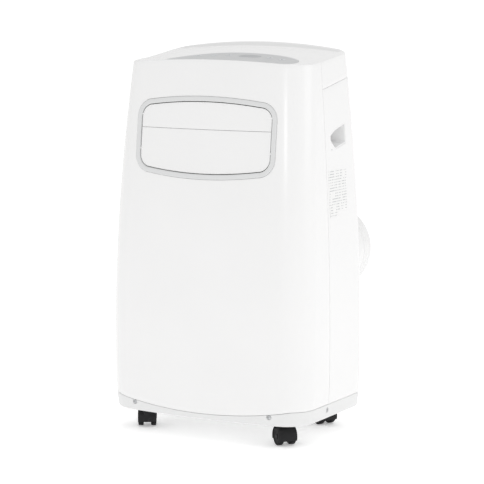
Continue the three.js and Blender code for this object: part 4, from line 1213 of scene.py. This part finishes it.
def castors():
    models = {"housing": castor_housing(), "axle": castor_axle(),
              "wheel_left": castor_wheel(-1), "wheel_right": castor_wheel(1)}
    looks = {"housing": (DARK, "dark_plastic"), "axle": (BLACK_STEEL, "steel"),
             "wheel_left": (TREAD, "castor_tread"), "wheel_right": (TREAD, "castor_tread")}
    joints = {joint["name"]: joint for joint in frame["joints"]}
    for corner in ("front_left", "front_right", "back_left", "back_right"):
        stem = Vector(joints[f"castor_{corner}_swivel"]["pos_m"])
        axle = Vector(joints[f"castor_{corner}_wheel_left_roll"]["axis"])
        angle = math.atan2(axle.y, axle.x)
        for part, model in models.items():
            piece = set_down(model, f"castor_{corner}_{part}_shape", stem, angle)
            body = f"castor_{corner}_{part}" if part.startswith("wheel") else f"castor_{corner}"
            material, slot = looks[part]
            finished(piece, material, body, slot, [f"castor_{corner}_{part}"])
    for model in models.values():
        bpy.data.objects.remove(model, do_unlink=True)


# ------------------------------------------------------------------ inside
def rounded_copies():
    """Flat-sided frame pieces, with their edges rounded off."""
    for i in range(1, 6):
        blade = copy_of(f"vane_{i}", f"vane_{i}_blade")
        round_edges(blade, 0.5 * MM, 2)
        finished(blade, VANE, f"vane_{i}", "light_trim", [f"vane_{i}"])
    link = copy_of("vane_link", "vane_link_bar")
    round_edges(link, 0.5 * MM, 2)
    finished(link, DARK, "vane_link", "dark_plastic", ["vane_link"])
    box = copy_of("control_box", "control_box_case")
    round_edges(box, 3 * MM, 4)
    finished(box, GRILLE, "cabinet", "sheet_metal", ["control_box"])


def carried_over():
    looks = {
        "air_duct": DARK, "deck": ZINC, "evaporator": FINS, "condenser": FINS, "compressor": PAINT,
        "suction_pipe": COPPER, "room_fan": FAN, "exhaust_fan": FAN, "room_fan_motor": STEEL,
        "exhaust_fan_motor": STEEL,
    }
    for node, material in looks.items():
        piece = frame["nodes"][node]
        for place in piece.material_slots:
            place.material = material


# ------------------------------------------------------------------ studio
def studio():
    clear_selection()
    bpy.ops.mesh.primitive_plane_add(size=300)
    floor = named("studio_floor")
    material, _, _, shader, _ = new_material("studio_paper")
    shader.inputs["Base Color"].default_value = (0.97, 0.97, 0.97, 1)
    shader.inputs["Roughness"].default_value = 0.9
    shader.inputs["Emission Color"].default_value = (1, 1, 1, 1)
    shader.inputs["Emission Strength"].default_value = 0.3
    floor.data.materials.append(material)

    world = bpy.data.worlds.new("studio_light")
    world.use_nodes = True
    world.node_tree.nodes["Background"].inputs["Color"].default_value = (1, 1, 1, 1)
    world.node_tree.nodes["Background"].inputs["Strength"].default_value = 0.8
    bpy.context.scene.world = world

    lights = [
        ("side", (3.2, 0.6, 1.4), 1.6, 7),
        ("front_strip", (1.2, -3.0, 1.1), 0.5, 4),
        ("top", (0.2, 0.4, 3.4), 2.4, 15),
    ]
    target = Vector((0, 0, 0.4))
    for name, where, size, power in lights:
        lamp = bpy.data.lights.new(name, "AREA")
        lamp.energy = power
        lamp.size = size
        holder = bpy.data.objects.new(name, lamp)
        holder.location = where
        holder.rotation_mode = "QUATERNION"
        holder.rotation_quaternion = (target - Vector(where)).to_track_quat("-Z", "Y")
        bpy.context.scene.collection.objects.link(holder)
    bpy.context.scene.view_settings.view_transform = "Standard"


def camera():
    azimuth, elevation = math.radians(29.24), math.radians(7.49)
    distance, sideways, level = 3.964, 3.3 * MM, 361 * MM
    back = Vector((math.sin(azimuth) * math.cos(elevation), -math.cos(azimuth) * math.cos(elevation),
                   math.sin(elevation)))
    right = Vector((math.cos(azimuth), math.sin(azimuth), 0))
    lens = bpy.data.cameras.new("camera")
    lens.sensor_width = 36
    lens.lens = 151.8
    lens.clip_end = 500
    eye = bpy.data.objects.new("camera", lens)
    eye.location = right * sideways + Vector((0, 0, level)) + back * distance
    eye.rotation_mode = "QUATERNION"
    eye.rotation_quaternion = (-back).to_track_quat("-Z", "Y")
    bpy.context.scene.collection.objects.link(eye)
    bpy.context.scene.camera = eye


camera()
studio()
base_tray()
front_panel()
rear_cover()
control_area()
vent_frame()
flap("upper")
flap("lower")
intake("upper", 8 * MM, 4)
intake("lower", 8 * MM, 3)
exhaust_collar()
drain_cap("upper")
drain_cap("lower")
cord_gland()
grip("right")
grip("left")
stickers()
screws()
castors()
rounded_copies()
carried_over()
